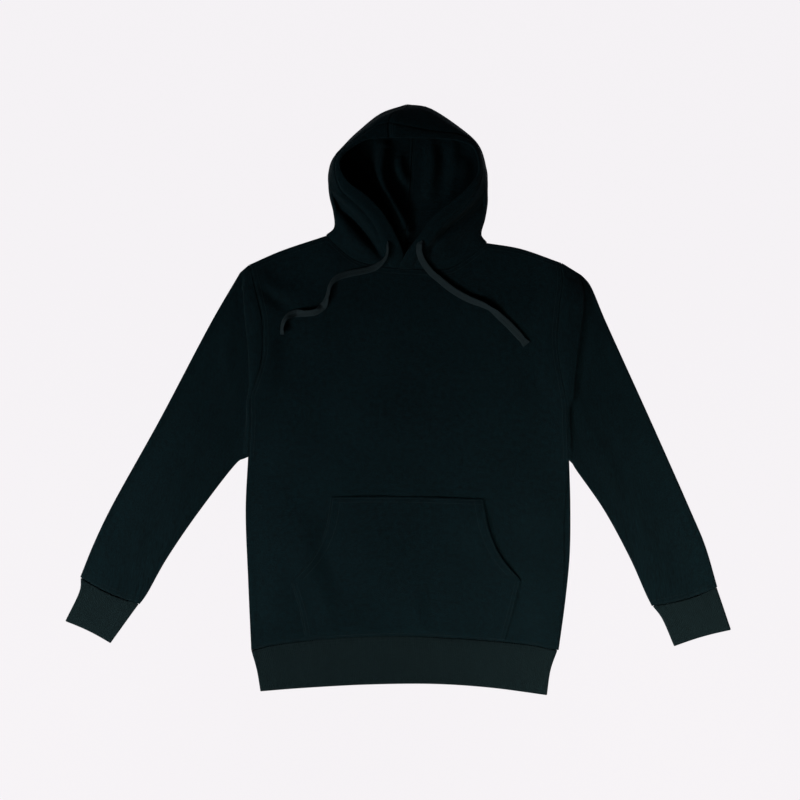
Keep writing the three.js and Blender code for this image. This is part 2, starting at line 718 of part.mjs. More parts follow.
function bodySheet({ right, left, armholeRight, armholeLeft, neck, neckColumns }) {
  const columns = neckColumns + 2 * SHOULDER_COLUMNS;
  const shoulder = SHOULDER_COLUMNS / columns;
  const top = joinLines([
    { line: lineThrough([...SHOULDER_RIGHT.slice(0, -1), neck(0)]), share: shoulder },
    { line: neck, share: neckColumns / columns },
    { line: lineThrough([neck(1), ...SHOULDER_LEFT.slice(1)]), share: shoulder },
  ]);
  const rows = SIDE_ROWS + ARMHOLE_ROWS;
  const side = (seam, armhole) => joinLines([
    { line: lineThrough(seam), share: SIDE_ROWS / rows },
    { line: (share) => armhole(1 - share), share: ARMHOLE_ROWS / rows },
  ]);
  const foot = lineThrough([...HEM_SEAM.slice(0, -1), left[0]]);
  const sheet = sheetBetween(foot, top, side(right, armholeRight), side(left, armholeLeft));
  return { sheet, columns, rows };
}

function bodyFront(necks) {
  const { sheet, columns, rows } = bodySheet({
    right: SIDE_RIGHT,
    left: SIDE_LEFT_FRONT,
    armholeRight: armholeSeam(ARMHOLE_RIGHT),
    armholeLeft: armholeSeam(ARMHOLE_LEFT),
    neck: necks.front,
    neckColumns: 12,
  });
  const middle = (x, y) => frontUnderside(x, y) + FLEECE / 2;
  return wall(sheetRows(sheet, columns, rows, middle));
}

function bodyBack(necks) {
  const { sheet, columns, rows } = bodySheet({
    right: SIDE_RIGHT,
    left: SIDE_LEFT_BACK,
    armholeRight: lineThrough(ARMHOLE_BACK_RIGHT),
    armholeLeft: lineThrough(ARMHOLE_BACK_LEFT),
    neck: necks.back,
    neckColumns: 18,
  });
  return wall(sheetRows(sheet, columns, rows, () => LOW));
}

// One ring of a flat tube: over the top, round the inner edge, back below, round the outer edge.
function flatRing(topPoints, bottomPoints, outerWay, innerWay) {
  const bend = (high, low, way) => [45, 90, 135].map((degrees) => {
    const rise = (high.z - low.z) / 2;
    const point = mix(high, low, 0.5).addScaledVector(way, TURN * Math.sin(radians(degrees)));
    point.z = low.z + rise * (1 + Math.cos(radians(degrees)));
    return point;
  });
  const [topOuter, topInner] = [topPoints[0], topPoints.at(-1)];
  const [lowOuter, lowInner] = [bottomPoints[0], bottomPoints.at(-1)];
  return [
    ...topPoints,
    ...bend(topInner, lowInner, innerWay),
    ...[...bottomPoints].reverse(),
    ...bend(topOuter, lowOuter, outerWay).reverse(),
  ];
}

// The way out of a tube at each ring of one edge, level and square to that edge.
function edgeWays(edge, other) {
  return edge.map((point, j) => {
    const along = edge[Math.min(j + 1, edge.length - 1)].clone().sub(edge[Math.max(j - 1, 0)]);
    const way = vec(along.y, -along.x).normalize();
    return way.dot(other[j].clone().sub(point)) > 0 ? way.negate() : way;
  });
}

// A line moved sideways, away from the given inner point.
function insetLine(line, inside, distance) {
  return (share) => {
    const step = 0.01;
    const along = line(Math.min(share + step, 1)).sub(line(Math.max(share - step, 0)));
    const way = vec(along.y, -along.x).normalize();
    const point = line(share);
    if (way.dot(inside.clone().sub(point)) < 0) way.negate();
    return point.addScaledVector(way, distance);
  };
}

// A seam line bowed along the sleeve between two points.
function bowedLine(start, end, bow) {
  const along = end.clone().sub(start);
  const way = vec(along.y, -along.x).normalize();
  if (way.y > 0) way.negate();
  return (share) => mix(start, end, share).addScaledVector(way, bow * Math.sin(Math.PI * share));
}

const SLEEVE_COLUMNS = 12;
const SLEEVE_LOW_COLUMNS = 6;
const SLEEVE_STEPS = 9;

// Points between two edges, given what the start and end seams add to a straight line.
function between(edgeA, edgeB, start, end, across, along) {
  const straight = (line) => mix(line(0), line(1), across);
  return mix(edgeA, edgeB, across)
    .addScaledVector(start(across).sub(straight(start)), 1 - along)
    .addScaledVector(end(across).sub(straight(end)), along);
}

// A sleeve: rings through the fold at the armhole, then rings down to the cuff seam.
function sleeve(name, armholeRows, backArmhole, shape, outward) {
  const armhole = withShares(armholeRows);
  const seamAt = armholeSeam(armholeRows);
  const middle = vec((shape.outer.at(-1).x + shape.inner[0].x) / 2, -120);
  const backSeam = lineThrough(backArmhole);
  const way = vec(outward, -0.12).normalize();
  const foldAt = (q) => foldProfile({
    strip: readColumn(armhole, q, (r) => r.strip),
    angle: readColumn(armhole, q, (r) => r.angle),
    tuck: readColumn(armhole, q, (r) => r.tuck),
  });
  const foldStart = (q) => seamAt(q).addScaledVector(way, SEAM_GAP);
  const foldEnd = (q) => foldStart(q).addScaledVector(way, foldAt(q).steps.at(-1)[0]);
  const outerLine = insetLine(lineThrough([foldEnd(0), ...shape.outer]), middle, EDGE_INSET);
  const innerLine = insetLine(lineThrough([foldEnd(1), ...shape.inner]), middle, EDGE_INSET);
  const endSeam = cuffSeam(shape);
  const foldSteps = foldAt(0).steps.length;
  const shares = Array.from({ length: SLEEVE_COLUMNS + 1 }, (_, i) => i / SLEEVE_COLUMNS);
  const topRows = [];
  for (let j = 0; j < foldSteps; j += 1) {
    topRows.push(shares.map((q) => {
      const [out, rise] = foldAt(q).steps[j];
      return foldPoint(foldStart(q), way, out, HIGH + rise, q);
    }));
  }
  const emerge = (q) => topRows.at(-1)[Math.round(q * SLEEVE_COLUMNS)].clone().setZ(0);
  for (let j = 1; j <= SLEEVE_STEPS; j += 1) {
    const along = j / SLEEVE_STEPS;
    topRows.push(shares.map((q) => (
      between(edgeFrom(outerLine, emerge(0), along), edgeFrom(innerLine, emerge(1), along),
        emerge, endSeam, q, along).setZ(HIGH)
    )));
  }
  return tubeFromTop(name, topRows, backSeam, endSeam, FLEECE_LOOK);
}

// A point of the fold, set in from the sleeve's own edges, where the tube bends to its underside.
function foldPoint(start, way, out, level, q) {
  const atEdge = q === 0 || q === 1 ? 1 : 0;
  const inset = EDGE_INSET * (q < 0.5 ? -1 : 1) * atEdge;
  return start.clone().addScaledVector(way, out + SEAM_GAP * atEdge).add(vec(0, inset, level));
}

// An edge line that leaves from where the fold ends.
function edgeFrom(line, start, along) {
  const slip = start.clone().sub(line(0));
  return line(along).addScaledVector(slip, (1 - along) ** 2);
}

// Closes a tube below its top rows with a flat underside.
function tubeFromTop(name, topRows, startSeam, endSeam, look) {
  const outer = topRows.map((row) => row[0].clone().setZ(0));
  const inner = topRows.map((row) => row.at(-1).clone().setZ(0));
  const lengths = outer.map((point, j) => (j ? point.distanceTo(outer[j - 1]) : 0));
  const total = lengths.reduce((sum, length) => sum + length, 0);
  const outerWays = edgeWays(outer, inner);
  const innerWays = edgeWays(inner, outer);
  let run = 0;
  const grid = topRows.map((row, j) => {
    run += lengths[j];
    const low = Array.from({ length: SLEEVE_LOW_COLUMNS + 1 }, (_, i) => (
      between(outer[j], inner[j], startSeam, endSeam, i / SLEEVE_LOW_COLUMNS, run / total).setZ(LOW)
    ));
    return flatRing(row, low, outerWays[j], innerWays[j]);
  });
  return piece(name, wall(grid, { closed: true }), look);
}

// The seam between a sleeve and its cuff.
function cuffSeam({ outer, inner, seamBow }) {
  const middle = mix(vec(outer.at(-1).x, outer.at(-1).y), vec(inner.at(-1).x, inner.at(-1).y), 0.5);
  const start = insetLine(lineThrough(outer), middle, EDGE_INSET)(1);
  const end = insetLine(lineThrough(inner), middle, EDGE_INSET)(1);
  return bowedLine(start, end, seamBow);
}

// A cuff, gathered in a little at its seam.
function cuff(name, shape, sleeveShape) {
  const inside = vec(
    (shape.outer[1].x + shape.inner[1].x) / 2,
    (shape.outer[1].y + shape.inner[1].y) / 2,
  );
  const seam = cuffSeam(sleeveShape);
  const startLine = (share) => seam(CUFF_GATHER + (1 - 2 * CUFF_GATHER) * share);
  const outer = insetLine(lineThrough(shape.outer), inside, EDGE_INSET);
  const inner = insetLine(lineThrough(shape.inner), inside, EDGE_INSET);
  const outerLine = (share) => edgeFrom(outer, startLine(0), share);
  const innerLine = (share) => edgeFrom(inner, startLine(1), share);
  const endLine = bowedLine(outerLine(1), innerLine(1), shape.endBow);
  return ribbedTube(name, outerLine, innerLine, startLine, endLine, SEAM_GAP);
}

const RIB_RINGS = 2;

// A ribbed ring of knit that lies flat: ribs stand up on its top face, and its inside is plain.
function ribbedTube(name, outerLine, innerLine, startLine, endLine, startGap) {
  const width = startLine(0).distanceTo(startLine(1));
  const ribs = Math.round(width / RIB_PITCH);
  const columns = ribs * 2;
  const lowColumns = Math.max(6, Math.round(ribs / 6));
  const length = startLine(0.5).distanceTo(endLine(0.5));
  const rings = Array.from({ length: RIB_RINGS + 1 }, (_, j) => (
    startGap / length + (1 - startGap / length) * (j / RIB_RINGS)
  ));
  const pointAt = (q, along) => (
    between(outerLine(along), innerLine(along), startLine, endLine, q, along)
  );
  const row = (count, along, z) => (
    Array.from({ length: count + 1 }, (_, i) => pointAt(i / count, along).setZ(z))
  );
  const outer = rings.map((along) => outerLine(along));
  const inner = rings.map((along) => innerLine(along));
  const [outerWays, innerWays] = [edgeWays(outer, inner), edgeWays(inner, outer)];
  const grid = rings.map((along, j) => (
    flatRing(row(columns, along, HIGH), row(lowColumns, along, LOW), outerWays[j], innerWays[j])
  ));
  const raised = (j, i) => (i <= columns && i % 2 === 1 ? RIB_RAISE : 0);
  const normals = gridNormals(grid, true);
  const upward = normals[0][1].z > 0;
  const outside = (j, i) => FLEECE / 2 + raised(j, i);
  const plain = () => FLEECE / 2;
  const sides = upward ? { over: outside, under: plain } : { over: plain, under: outside };
  return piece(name, wall(grid, { closed: true, normals, ...sides }), RIB_LOOK);
}

// The hem band, a flat ring below the body.
function hemBand() {
  const middle = vec(10, -430);
  const rightEdge = lineThrough([{ x: -238, y: -405 }, { x: -229, y: -437 }, { x: -223, y: -472 }]);
  const leftEdge = lineThrough([{ x: 258, y: -405 }, { x: 247, y: -437 }, { x: 241, y: -478 }]);
  const trimmed = (rows) => {
    const line = lineThrough(rows);
    const inset = EDGE_INSET / line(0).distanceTo(line(1));
    return (share) => line(inset + (1 - 2 * inset) * share);
  };
  const [seam, edge] = [trimmed(HEM_SEAM), trimmed(HEM_EDGE)];
  const right = insetLine(rightEdge, middle, EDGE_INSET);
  const left = insetLine(leftEdge, middle, EDGE_INSET);
  const rightLine = (share) => edgeFrom(right, seam(0), share);
  const leftLine = (share) => edgeFrom(left, seam(1), share);
  return ribbedTube('hem_band', rightLine, leftLine, seam, edge, HEM_BAND_GAP);
}

// The pocket lies on the front panel, and the lips of its openings stand a little proud.
function pocket() {
  const side = ({ foot, opening }) => joinLines([
    { line: lineThrough(foot), share: 0.4 },
    { line: lineThrough(opening), share: 0.6 },
  ]);
  const sheet = sheetBetween(
    lineThrough(POCKET_FOOT),
    lineThrough(POCKET_TOP),
    side(POCKET_RIGHT),
    side(POCKET_LEFT),
  );
  const width = 300;
  const height = (x, y, u, v) => {
    const fromEdge = Math.min(u, 1 - u) * width;
    const opening = ramp((v - 0.4) / 0.12) * ramp((1 - v) / 0.12);
    const lip = POCKET_LIP * opening * ramp(1 - fromEdge / POCKET_LIP_WIDTH);
    return frontUnderside(x, y) + FLEECE * 1.5 + POCKET_CLEAR + lip;
  };
  const grid = sheetRows(sheet, 16, 10, height);
  return piece('pocket', wall(grid), FLEECE_LOOK);
}

// A curve that keeps the flat side of a braid level.
class LaidCurve extends THREE.CatmullRomCurve3 {
  computeFrenetFrames(steps) {
    const frames = { tangents: [], normals: [], binormals: [] };
    for (let i = 0; i <= steps; i += 1) {
      const tangent = this.getTangentAt(i / steps);
      const across = tangent.clone().cross(vec(0, 0, 1)).normalize();
      frames.tangents.push(tangent);
      frames.normals.push(across.clone().cross(tangent));
      frames.binormals.push(across);
    }
    return frames;
  }
}

function cordSection() {
  const [thick, wide] = [CORD_THICK / 2, CORD_WIDTH / 2];
  const [thin, near] = [thick * 0.5, wide * 0.75];
  const corners = [
    [thick, -near], [thick, near], [thin, wide], [-thin, wide],
    [-thick, near], [-thick, -near], [-thin, -wide], [thin, -wide],
  ];
  return new THREE.Shape(corners.map(([x, y]) => new THREE.Vector2(x, y)));
}

function cord(name, rows) {
  const points = rows.map(({ x, y, z }) => (
    vec(x, y, z ?? frontUnderside(x, y) + FLEECE + CORD_CLEAR + CORD_THICK / 2)
  ));
  const extrudePath = new LaidCurve(points, false, 'centripetal');
  const geometry = new THREE.ExtrudeGeometry(cordSection(), {
    steps: CORD_STEPS,
    extrudePath,
    bevelEnabled: false,
  });
  return piece(name, geometry, CORD_LOOK);
}

function hoodie() {
  const necks = neckLines();
  const group = new THREE.Group();
  group.add(piece('body_back', bodyBack(necks), FLEECE_LOOK));
  group.add(piece('body_front', bodyFront(necks), FLEECE_LOOK));
  group.add(sleeve('sleeve_right', ARMHOLE_RIGHT, ARMHOLE_BACK_RIGHT, SLEEVE_RIGHT, -1));
  group.add(sleeve('sleeve_left', ARMHOLE_LEFT, ARMHOLE_BACK_LEFT, SLEEVE_LEFT, 1));
  for (const [name, geometry] of hoodPanels()) group.add(piece(name, geometry, FLEECE_LOOK));
  group.add(pocket());
  group.add(cuff('cuff_right', CUFF_RIGHT, SLEEVE_RIGHT));
  group.add(cuff('cuff_left', CUFF_LEFT, SLEEVE_LEFT));
  group.add(hemBand());
  group.add(cord('cord_right', CORD_RIGHT));
  group.add(cord('cord_left', CORD_LEFT));
  return group;
}

export default hoodie();
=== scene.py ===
# %% [markdown]
# # A pullover hoodie, laid flat
#
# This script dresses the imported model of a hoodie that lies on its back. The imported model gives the
# frame, and every piece made here lies where its solid lies. Lengths are thought of in millimetres,
# as a maker would, and turned to metres when a mesh is made.

# %% Load the frame
import math

import bpy
import numpy as np
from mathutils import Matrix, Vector


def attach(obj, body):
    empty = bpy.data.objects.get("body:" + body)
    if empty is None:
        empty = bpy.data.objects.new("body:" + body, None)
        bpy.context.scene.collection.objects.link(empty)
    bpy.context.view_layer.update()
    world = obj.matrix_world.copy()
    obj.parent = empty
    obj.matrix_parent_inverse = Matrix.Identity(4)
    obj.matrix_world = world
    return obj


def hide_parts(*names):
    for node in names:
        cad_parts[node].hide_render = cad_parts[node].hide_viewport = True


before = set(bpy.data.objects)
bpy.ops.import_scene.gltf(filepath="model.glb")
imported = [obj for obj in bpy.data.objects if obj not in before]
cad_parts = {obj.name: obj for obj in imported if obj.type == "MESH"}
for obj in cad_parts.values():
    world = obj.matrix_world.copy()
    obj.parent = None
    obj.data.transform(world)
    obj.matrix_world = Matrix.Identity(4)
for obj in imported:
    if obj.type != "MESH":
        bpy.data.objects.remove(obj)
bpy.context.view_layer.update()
MM = 0.001

# %% [markdown]
# ## Camera
#
# A garment laid flat is photographed from straight above with a long lens, so that its edges aren't
# spread. A short lens close by would make the hood, which stands up highest, lean outward. The camera's
# height follows from the lens, so that the picture is 1.296 m wide at the cloth.

# %% Camera over the garment
PICTURE_WIDTH = 1.296
PICTURE_MIDDLE = 0.003
LENS = 200
SENSOR = 36
camera_data = bpy.data.cameras.new("overhead")
camera_data.lens = LENS
camera_data.sensor_width = SENSOR
camera = bpy.data.objects.new("overhead", camera_data)
camera.location = (PICTURE_MIDDLE, 0, PICTURE_WIDTH * LENS / SENSOR)
bpy.context.scene.collection.objects.link(camera)
bpy.context.scene.camera = camera
print("camera height", round(camera.location.z, 2))

# %% [markdown]
# ## Lines and sheets
#
# Every piece of cloth starts as a grid of points on the middle of the cloth. Its edges are smooth
# lines through a few measured points, and its inside is filled in between the edges, which is how a
# pattern piece is drawn from its outline. Sculpting or a cloth simulation could also give the shape,
# but here each edge and each fold has a known place, and lines through points keep it.

# %% Smooth lines through a few points
def smooth_through(keys, stops):
    """Points of a smooth line through keys (..., count, axes), at stops counted in keys."""
    keys = np.asarray(keys, float)
    before = 2 * keys[..., :1, :] - keys[..., 1:2, :]
    after = 2 * keys[..., -1:, :] - keys[..., -2:-1, :]
    padded = np.concatenate([before, keys, after], axis=-2)
    low = np.clip(np.floor(stops).astype(int), 0, keys.shape[-2] - 2)
    t = (stops - low)[..., None]
    p0, p1, p2, p3 = (padded[..., low + step, :] for step in range(4))
    gaps = [np.linalg.norm(b - a, axis=-1, keepdims=True) for a, b in ((p0, p1), (p1, p2), (p2, p3))]
    d0, d1, d2 = (np.maximum(gap, 1e-6) ** 0.5 for gap in gaps)
    leave = ((p1 - p0) / d0 - (p2 - p0) / (d0 + d1) + (p2 - p1) / d1) * d1
    arrive = ((p2 - p1) / d1 - (p3 - p1) / (d1 + d2) + (p3 - p2) / d2) * d1
    start = (2 * t ** 3 - 3 * t ** 2 + 1) * p1 + (t ** 3 - 2 * t ** 2 + t) * leave
    return start + (3 * t ** 2 - 2 * t ** 3) * p2 + (t ** 3 - t ** 2) * arrive


def lengths_along(points):
    """Running length at each point of a line."""
    steps = np.linalg.norm(np.diff(points, axis=0), axis=1)
    return np.concatenate([[0], np.cumsum(steps)])


# %% A line read by its share of length
def line_through(points):
    """A smooth line through points, read by its share of length."""
    points = np.asarray(points, float)
    fine = np.linspace(0, len(points) - 1, 60 * len(points))
    lengths = lengths_along(smooth_through(points, fine))

    def read(share):
        wanted = np.clip(np.asarray(share, float), 0, 1) * lengths[-1]
        return smooth_through(points, np.interp(wanted, lengths, fine))
    return read


# %% Tables and lines set end to end
def read_table(at, values, wanted):
    """Reads columns of a table smoothly: values (rows, ...) stand at shares at."""
    at, values, wanted = (np.asarray(part, float) for part in (at, values, wanted))
    index = np.arange(len(at))
    before, after = np.maximum(index - 1, 0), np.minimum(index + 1, len(at) - 1)
    spread = (-1,) + (1,) * (values.ndim - 1)
    slopes = (values[after] - values[before]) / (at[after] - at[before]).reshape(spread)
    low = np.clip(np.searchsorted(at, wanted, side="left") - 1, 0, len(at) - 2)
    span = at[low + 1] - at[low]
    shape = wanted.shape + (1,) * (values.ndim - 1)
    t = np.clip((wanted - at[low]) / span, 0, 1).reshape(shape)
    span = span.reshape(shape)
    start = (2 * t ** 3 - 3 * t ** 2 + 1) * values[low] + (t ** 3 - 2 * t ** 2 + t) * span * slopes[low]
    end = (3 * t ** 2 - 2 * t ** 3) * values[low + 1] + (t ** 3 - t ** 2) * span * slopes[low + 1]
    return start + end


def joined(lines, shares):
    """Lines set end to end, each with its share of the whole."""
    ends = np.cumsum(shares)

    def read(share):
        share = np.atleast_1d(np.asarray(share, float))
        which = np.minimum(np.searchsorted(ends, share - 1e-9), len(lines) - 1)
        parts = [line(np.clip((share - end) / part + 1, 0, 1))
                 for line, end, part in zip(lines, ends, shares)]
        return np.choose(which[:, None], parts)
    return read


def ramp(value):
    """A soft step from 0 to 1."""
    value = np.clip(value, 0, 1)
    return value * value * (3 - 2 * value)


# %% [markdown]
# A four-sided sheet is filled in from its four edges. Grid lines run close together next to the
# edges, because cloth dips most beside its seams, and stay wider in the open field.

# %% A sheet between four edges
def grid_lines(parts, length, margins=(1.2, 3.2, 6.5)):
    """Shares of grid lines. parts are (share, count), and extra lines run close to both ends."""
    lines = [0]
    for share, count in parts:
        lines.extend(lines[-1] + share * np.arange(1, count + 1) / count)
    lines, near = np.array(lines), np.array(margins) / length
    inside = (lines > near[-1] * 1.4) & (lines < 1 - near[-1] * 1.4)
    return np.concatenate([[0], near, lines[inside], 1 - near[::-1], [1]])


def sheet_between(foot, top, right, left, u, v):
    """Grid (v, u, axes) between edge lines: foot and top run along u, right and left along v."""
    foot, top, right, left = foot(u), top(u), right(v), left(v)
    u, v = u[None, :, None], v[:, None, None]
    rise = foot[None] * (1 - v) + top[None] * v
    across = right[:, None] * (1 - u) + left[:, None] * u
    low = foot[0] * (1 - u) + foot[-1] * u
    high = top[0] * (1 - u) + top[-1] * u
    return rise + across - (low * (1 - v) + high * v)


# %% [markdown]
# ## Relief from listed creases and from chance
#
# Large creases are listed one by one, each as a soft trough or ridge along its own line. Between them
# cloth is never quite flat, so a few slow waves of seeded chance are added.

# %% Creases along lines
def crease(x, y, rows, width, rise, fade=0.5):
    """Height of one trough or ridge along the line through rows, fading out at both ends."""
    points = line_through(rows)(np.linspace(0, 1, 48))
    flat = np.stack([np.ravel(x), np.ravel(y)], axis=1)
    start, step = points[:-1], np.diff(points, axis=0)
    reach = ((flat[:, None] - start[None]) * step).sum(-1) / (step ** 2).sum(-1)
    reach = np.clip(reach, 0, 1)
    gaps = np.linalg.norm(flat[:, None] - (start + reach[..., None] * step), axis=-1)
    nearest = gaps.argmin(axis=1)
    pick = np.arange(len(flat))
    share = (nearest + reach[pick, nearest]) / len(step)
    strength = np.sin(np.pi * np.clip(share, 0.02, 0.98)) ** fade
    height = rise * strength * np.exp(-(gaps[pick, nearest] / width) ** 2)
    return height.reshape(np.shape(x))


def creases(x, y, table):
    """Sum of a table of creases."""
    total = np.zeros(np.shape(x))
    for row in table:
        total += crease(x, y, **row)
    return total


def slow_waves(x, y, seed, size, count=14):
    """Uneven waves between about -1 and 1, with crests about size apart."""
    chance = np.random.default_rng(seed)
    total = np.zeros(np.shape(x))
    for _ in range(count):
        way = chance.uniform(0, 2 * math.pi)
        pitch = size * chance.uniform(0.7, 1.8)
        phase = chance.uniform(0, 2 * math.pi)
        total += np.sin(2 * math.pi * (x * math.cos(way) + y * math.sin(way)) / pitch + phase)
    return total / math.sqrt(count)


def mixed_waves(x, y, seed, rows):
    """Waves of several sizes. rows are (height, size, what the seed goes up by)."""
    return sum(height * slow_waves(x, y, seed + more, size) for height, size, more in rows)


fallen = float(crease(9.0, 0.0, [(0, -50), (0, 50)], 9, 1))
print("a crease 9 mm wide has fallen to", round(fallen, 2), "at 9 mm from its line")

# %% [markdown]
# ## Cloth as a thin wall
#
# Fleece is 2.4 mm thick, so a bare surface would look like paper at its edges. Each grid gets a face
# on both sides and a rounded rim between them. A solidify modifier suits cloth that is equally thick
# all over. Here ribs stand up on one side alone and the hem of the hood is plump, so the wall is built
# point by point. The cloth also gets a map in metres along its own threads, so that the knit runs down
# each sleeve and round each band.

# %% Facing of a grid and its map
FLEECE = 2.4
RIM_BULGE = 0.55


def ring_of(grid):
    """A grid that goes round, with its first column set again after its last."""
    return np.concatenate([grid, grid[:, :1]], axis=1)


def running_lengths(grid):
    """Lengths along a grid from its first column, and from its first row."""
    across = np.linalg.norm(np.diff(grid, axis=1), axis=-1)
    along = np.linalg.norm(np.diff(grid, axis=0), axis=-1)
    from_column = np.pad(np.cumsum(across, axis=1), ((0, 0), (1, 0)))
    from_row = np.pad(np.cumsum(along, axis=0), ((1, 0), (0, 0)))
    return from_column, from_row


def facing(grid, closed=False):
    """The way that a grid faces at each point."""
    if closed:
        across = np.roll(grid, -1, axis=1) - np.roll(grid, 1, axis=1)
    else:
        across = np.gradient(grid, axis=1)
    normal = np.cross(across, np.gradient(grid, axis=0))
    return normal / np.maximum(np.linalg.norm(normal, axis=-1, keepdims=True), 1e-9)


def cloth_map(grid):
    """Distances along the cloth from its first corner, in metres."""
    return np.stack(running_lengths(grid), axis=-1) * MM


# %% Rim of a wall
def outward_at_edges(grid, closed):
    """The way out of the cloth at its open edges, and nothing inside."""
    way = np.zeros_like(grid)
    way[0] += grid[0] - grid[1]
    way[-1] += grid[-1] - grid[-2]
    if not closed:
        unit = np.linalg.norm(grid[:, 1] - grid[:, 0], axis=-1).mean()
        way /= max(np.linalg.norm(grid[1] - grid[0], axis=-1).mean(), 1e-9)
        way[:, 0] += (grid[:, 0] - grid[:, 1]) / unit
        way[:, -1] += (grid[:, -1] - grid[:, -2]) / unit
    return way / np.maximum(np.linalg.norm(way, axis=-1, keepdims=True), 1e-9)


def edge_loops(rows, columns, closed):
    """The open edges of a grid, as loops of point numbers."""
    index = np.arange(rows * columns).reshape(rows, columns)
    if closed:
        return [index[0], index[-1][::-1]]
    return [np.concatenate([index[0, :-1], index[:-1, -1], index[-1, :0:-1], index[:0:-1, 0]])]


# %% Wall mesh
def quads(index):
    """Four-sided faces between neighbouring rows and columns of point numbers."""
    return np.stack([index[:-1, :-1], index[:-1, 1:], index[1:, 1:], index[1:, :-1]], -1).reshape(-1, 4)


def wall(name, grid, closed=False, over=FLEECE / 2, under=FLEECE / 2, normals=None):
    """A closed mesh around the grid of its middle. Returns the object and its two faces."""
    rows, columns = grid.shape[:2]
    normals = facing(grid, closed) if normals is None else normals
    pulled = grid - outward_at_edges(grid, closed) * RIM_BULGE
    over, under = (np.broadcast_to(thick, (rows, columns))[..., None] for thick in (over, under))
    outer = pulled + normals * over
    inner = pulled - normals * under
    count = rows * columns
    index = np.arange(count).reshape(rows, columns)
    mapped = cloth_map(ring_of(grid) if closed else grid)
    map_index = np.arange(mapped.shape[0] * mapped.shape[1]).reshape(mapped.shape[:2])
    if closed:
        index = ring_of(index)
    faces, maps = [quads(index)], [quads(map_index)]
    faces.append(faces[0][:, ::-1] + count)
    maps.append(maps[0][:, ::-1])
    rim_points = []
    flat_map = map_index[:, :columns].ravel()
    for loop in edge_loops(rows, columns, closed):
        middle = 2 * count + sum(len(part) for part in rim_points) + np.arange(len(loop))
        rim_points.append(grid.reshape(-1, 3)[loop])
        after, after_middle = np.roll(loop, -1), np.roll(middle, -1)
        faces.append(np.stack([after, loop, middle, after_middle], -1))
        faces.append(np.stack([after_middle, middle, loop + count, after + count], -1))
        at, next_at = flat_map[loop], flat_map[after]
        maps.extend([np.stack([next_at, at, at, next_at], -1)] * 2)
    points = np.concatenate([outer.reshape(-1, 3), inner.reshape(-1, 3), *rim_points])
    obj = mesh_object(name, points, np.concatenate(faces), mapped.reshape(-1, 2)[np.concatenate(maps)])
    return obj, outer, inner


# %% Mesh in metres
def mesh_object(name, points, faces, maps=None):
    """A smooth mesh in metres, turned so that its faces point out."""
    a, b, c = (points[faces[:, corner]] for corner in range(3))
    d = points[faces[:, -1]]
    volume = (np.cross(b, c) * a).sum() + (np.cross(c, d) * a).sum()
    if volume < 0:
        faces = faces[:, ::-1]
        maps = None if maps is None else maps[:, ::-1]
    mesh = bpy.data.meshes.new(name)
    mesh.from_pydata((points * MM).tolist(), [], faces.tolist())
    mesh.shade_smooth()
    if maps is not None:
        layer = mesh.uv_layers.new(name="cloth")
        layer.uv.foreach_set("vector", np.ascontiguousarray(maps, dtype=np.float32).ravel())
    obj = bpy.data.objects.new(name, mesh)
    bpy.context.scene.collection.objects.link(obj)
    return obj


# %% [markdown]
# ## Stitches
#
# A seam is only read as a seam when its thread shows. A bump in the cloth's finish could hint at it.
# Here each stitch is a small spindle half sunk in the cloth, repeated along a line, so that the thread
# catches light.

# %% Where stitches run
STITCH_PITCH = 3.3
STITCH_LENGTH = 2.7
THREAD_RADIUS = 0.26
THREAD_LIFT = 0.05
SPINDLE = [(-0.5, 0.05, -0.5), (-0.3, 0.9, 0.1), (0.3, 0.9, 0.1), (0.5, 0.05, -0.5)]
SIDES = 6


def line_inside(surface, edge, distance):
    """The line on a surface that runs at a distance in from one of its edges."""
    turned = {
        "foot": surface,
        "top": surface[::-1],
        "right": surface.transpose(1, 0, 2),
        "left": surface.transpose(1, 0, 2)[::-1],
    }[edge]
    points = []
    for column in range(turned.shape[1]):
        strip = turned[:, column]
        lengths = lengths_along(strip)
        points.append([np.interp(distance, lengths, strip[:, axis]) for axis in range(3)])
    return np.array(points)


# %% Stitches along lines
def stitches(name, lines):
    """One mesh of small spindles along lines, each half sunk in the cloth."""
    points, faces = [], []
    for line in lines:
        lengths = lengths_along(line)
        centres = np.arange(STITCH_PITCH, lengths[-1] - STITCH_PITCH / 2, STITCH_PITCH)
        for centre in centres:
            ends = [[np.interp(centre + side * STITCH_LENGTH / 2, lengths, line[:, axis])
                     for axis in range(3)] for side in (-1, 1)]
            start, end = np.array(ends)
            along = end - start
            side = np.cross(along, (0, 0, 1))
            side /= max(np.linalg.norm(side), 1e-9)
            up = np.cross(side, along) / max(np.linalg.norm(along), 1e-9)
            first = len(points) * SIDES
            for share, size, rise in SPINDLE:
                middle = (start + end) / 2 + along * share + up * (THREAD_LIFT + rise * THREAD_RADIUS)
                turn = np.arange(SIDES) * 2 * math.pi / SIDES
                circle = np.outer(np.cos(turn), side) + np.outer(np.sin(turn), up)
                points.append(middle + circle * THREAD_RADIUS * size)
            for start_of_ring in range(first, first + (len(SPINDLE) - 1) * SIDES, SIDES):
                for k in range(SIDES):
                    a, b = start_of_ring + k, start_of_ring + (k + 1) % SIDES
                    faces.append((a, b, b + SIDES, a + SIDES))
    obj = mesh_object(name, np.concatenate(points), np.array(faces))
    print(name, len(points) // len(SPINDLE), "stitches")
    return obj


# %% [markdown]
# ## Finishes
#
# Fleece is a knit: on its face run fine upright columns of stitches, and over them lies a faint fuzz
# that breaks the colour into light and dark specks. Both effects serve fleece, rib and cord, so each
# is a node group that is built once and placed with its own values.

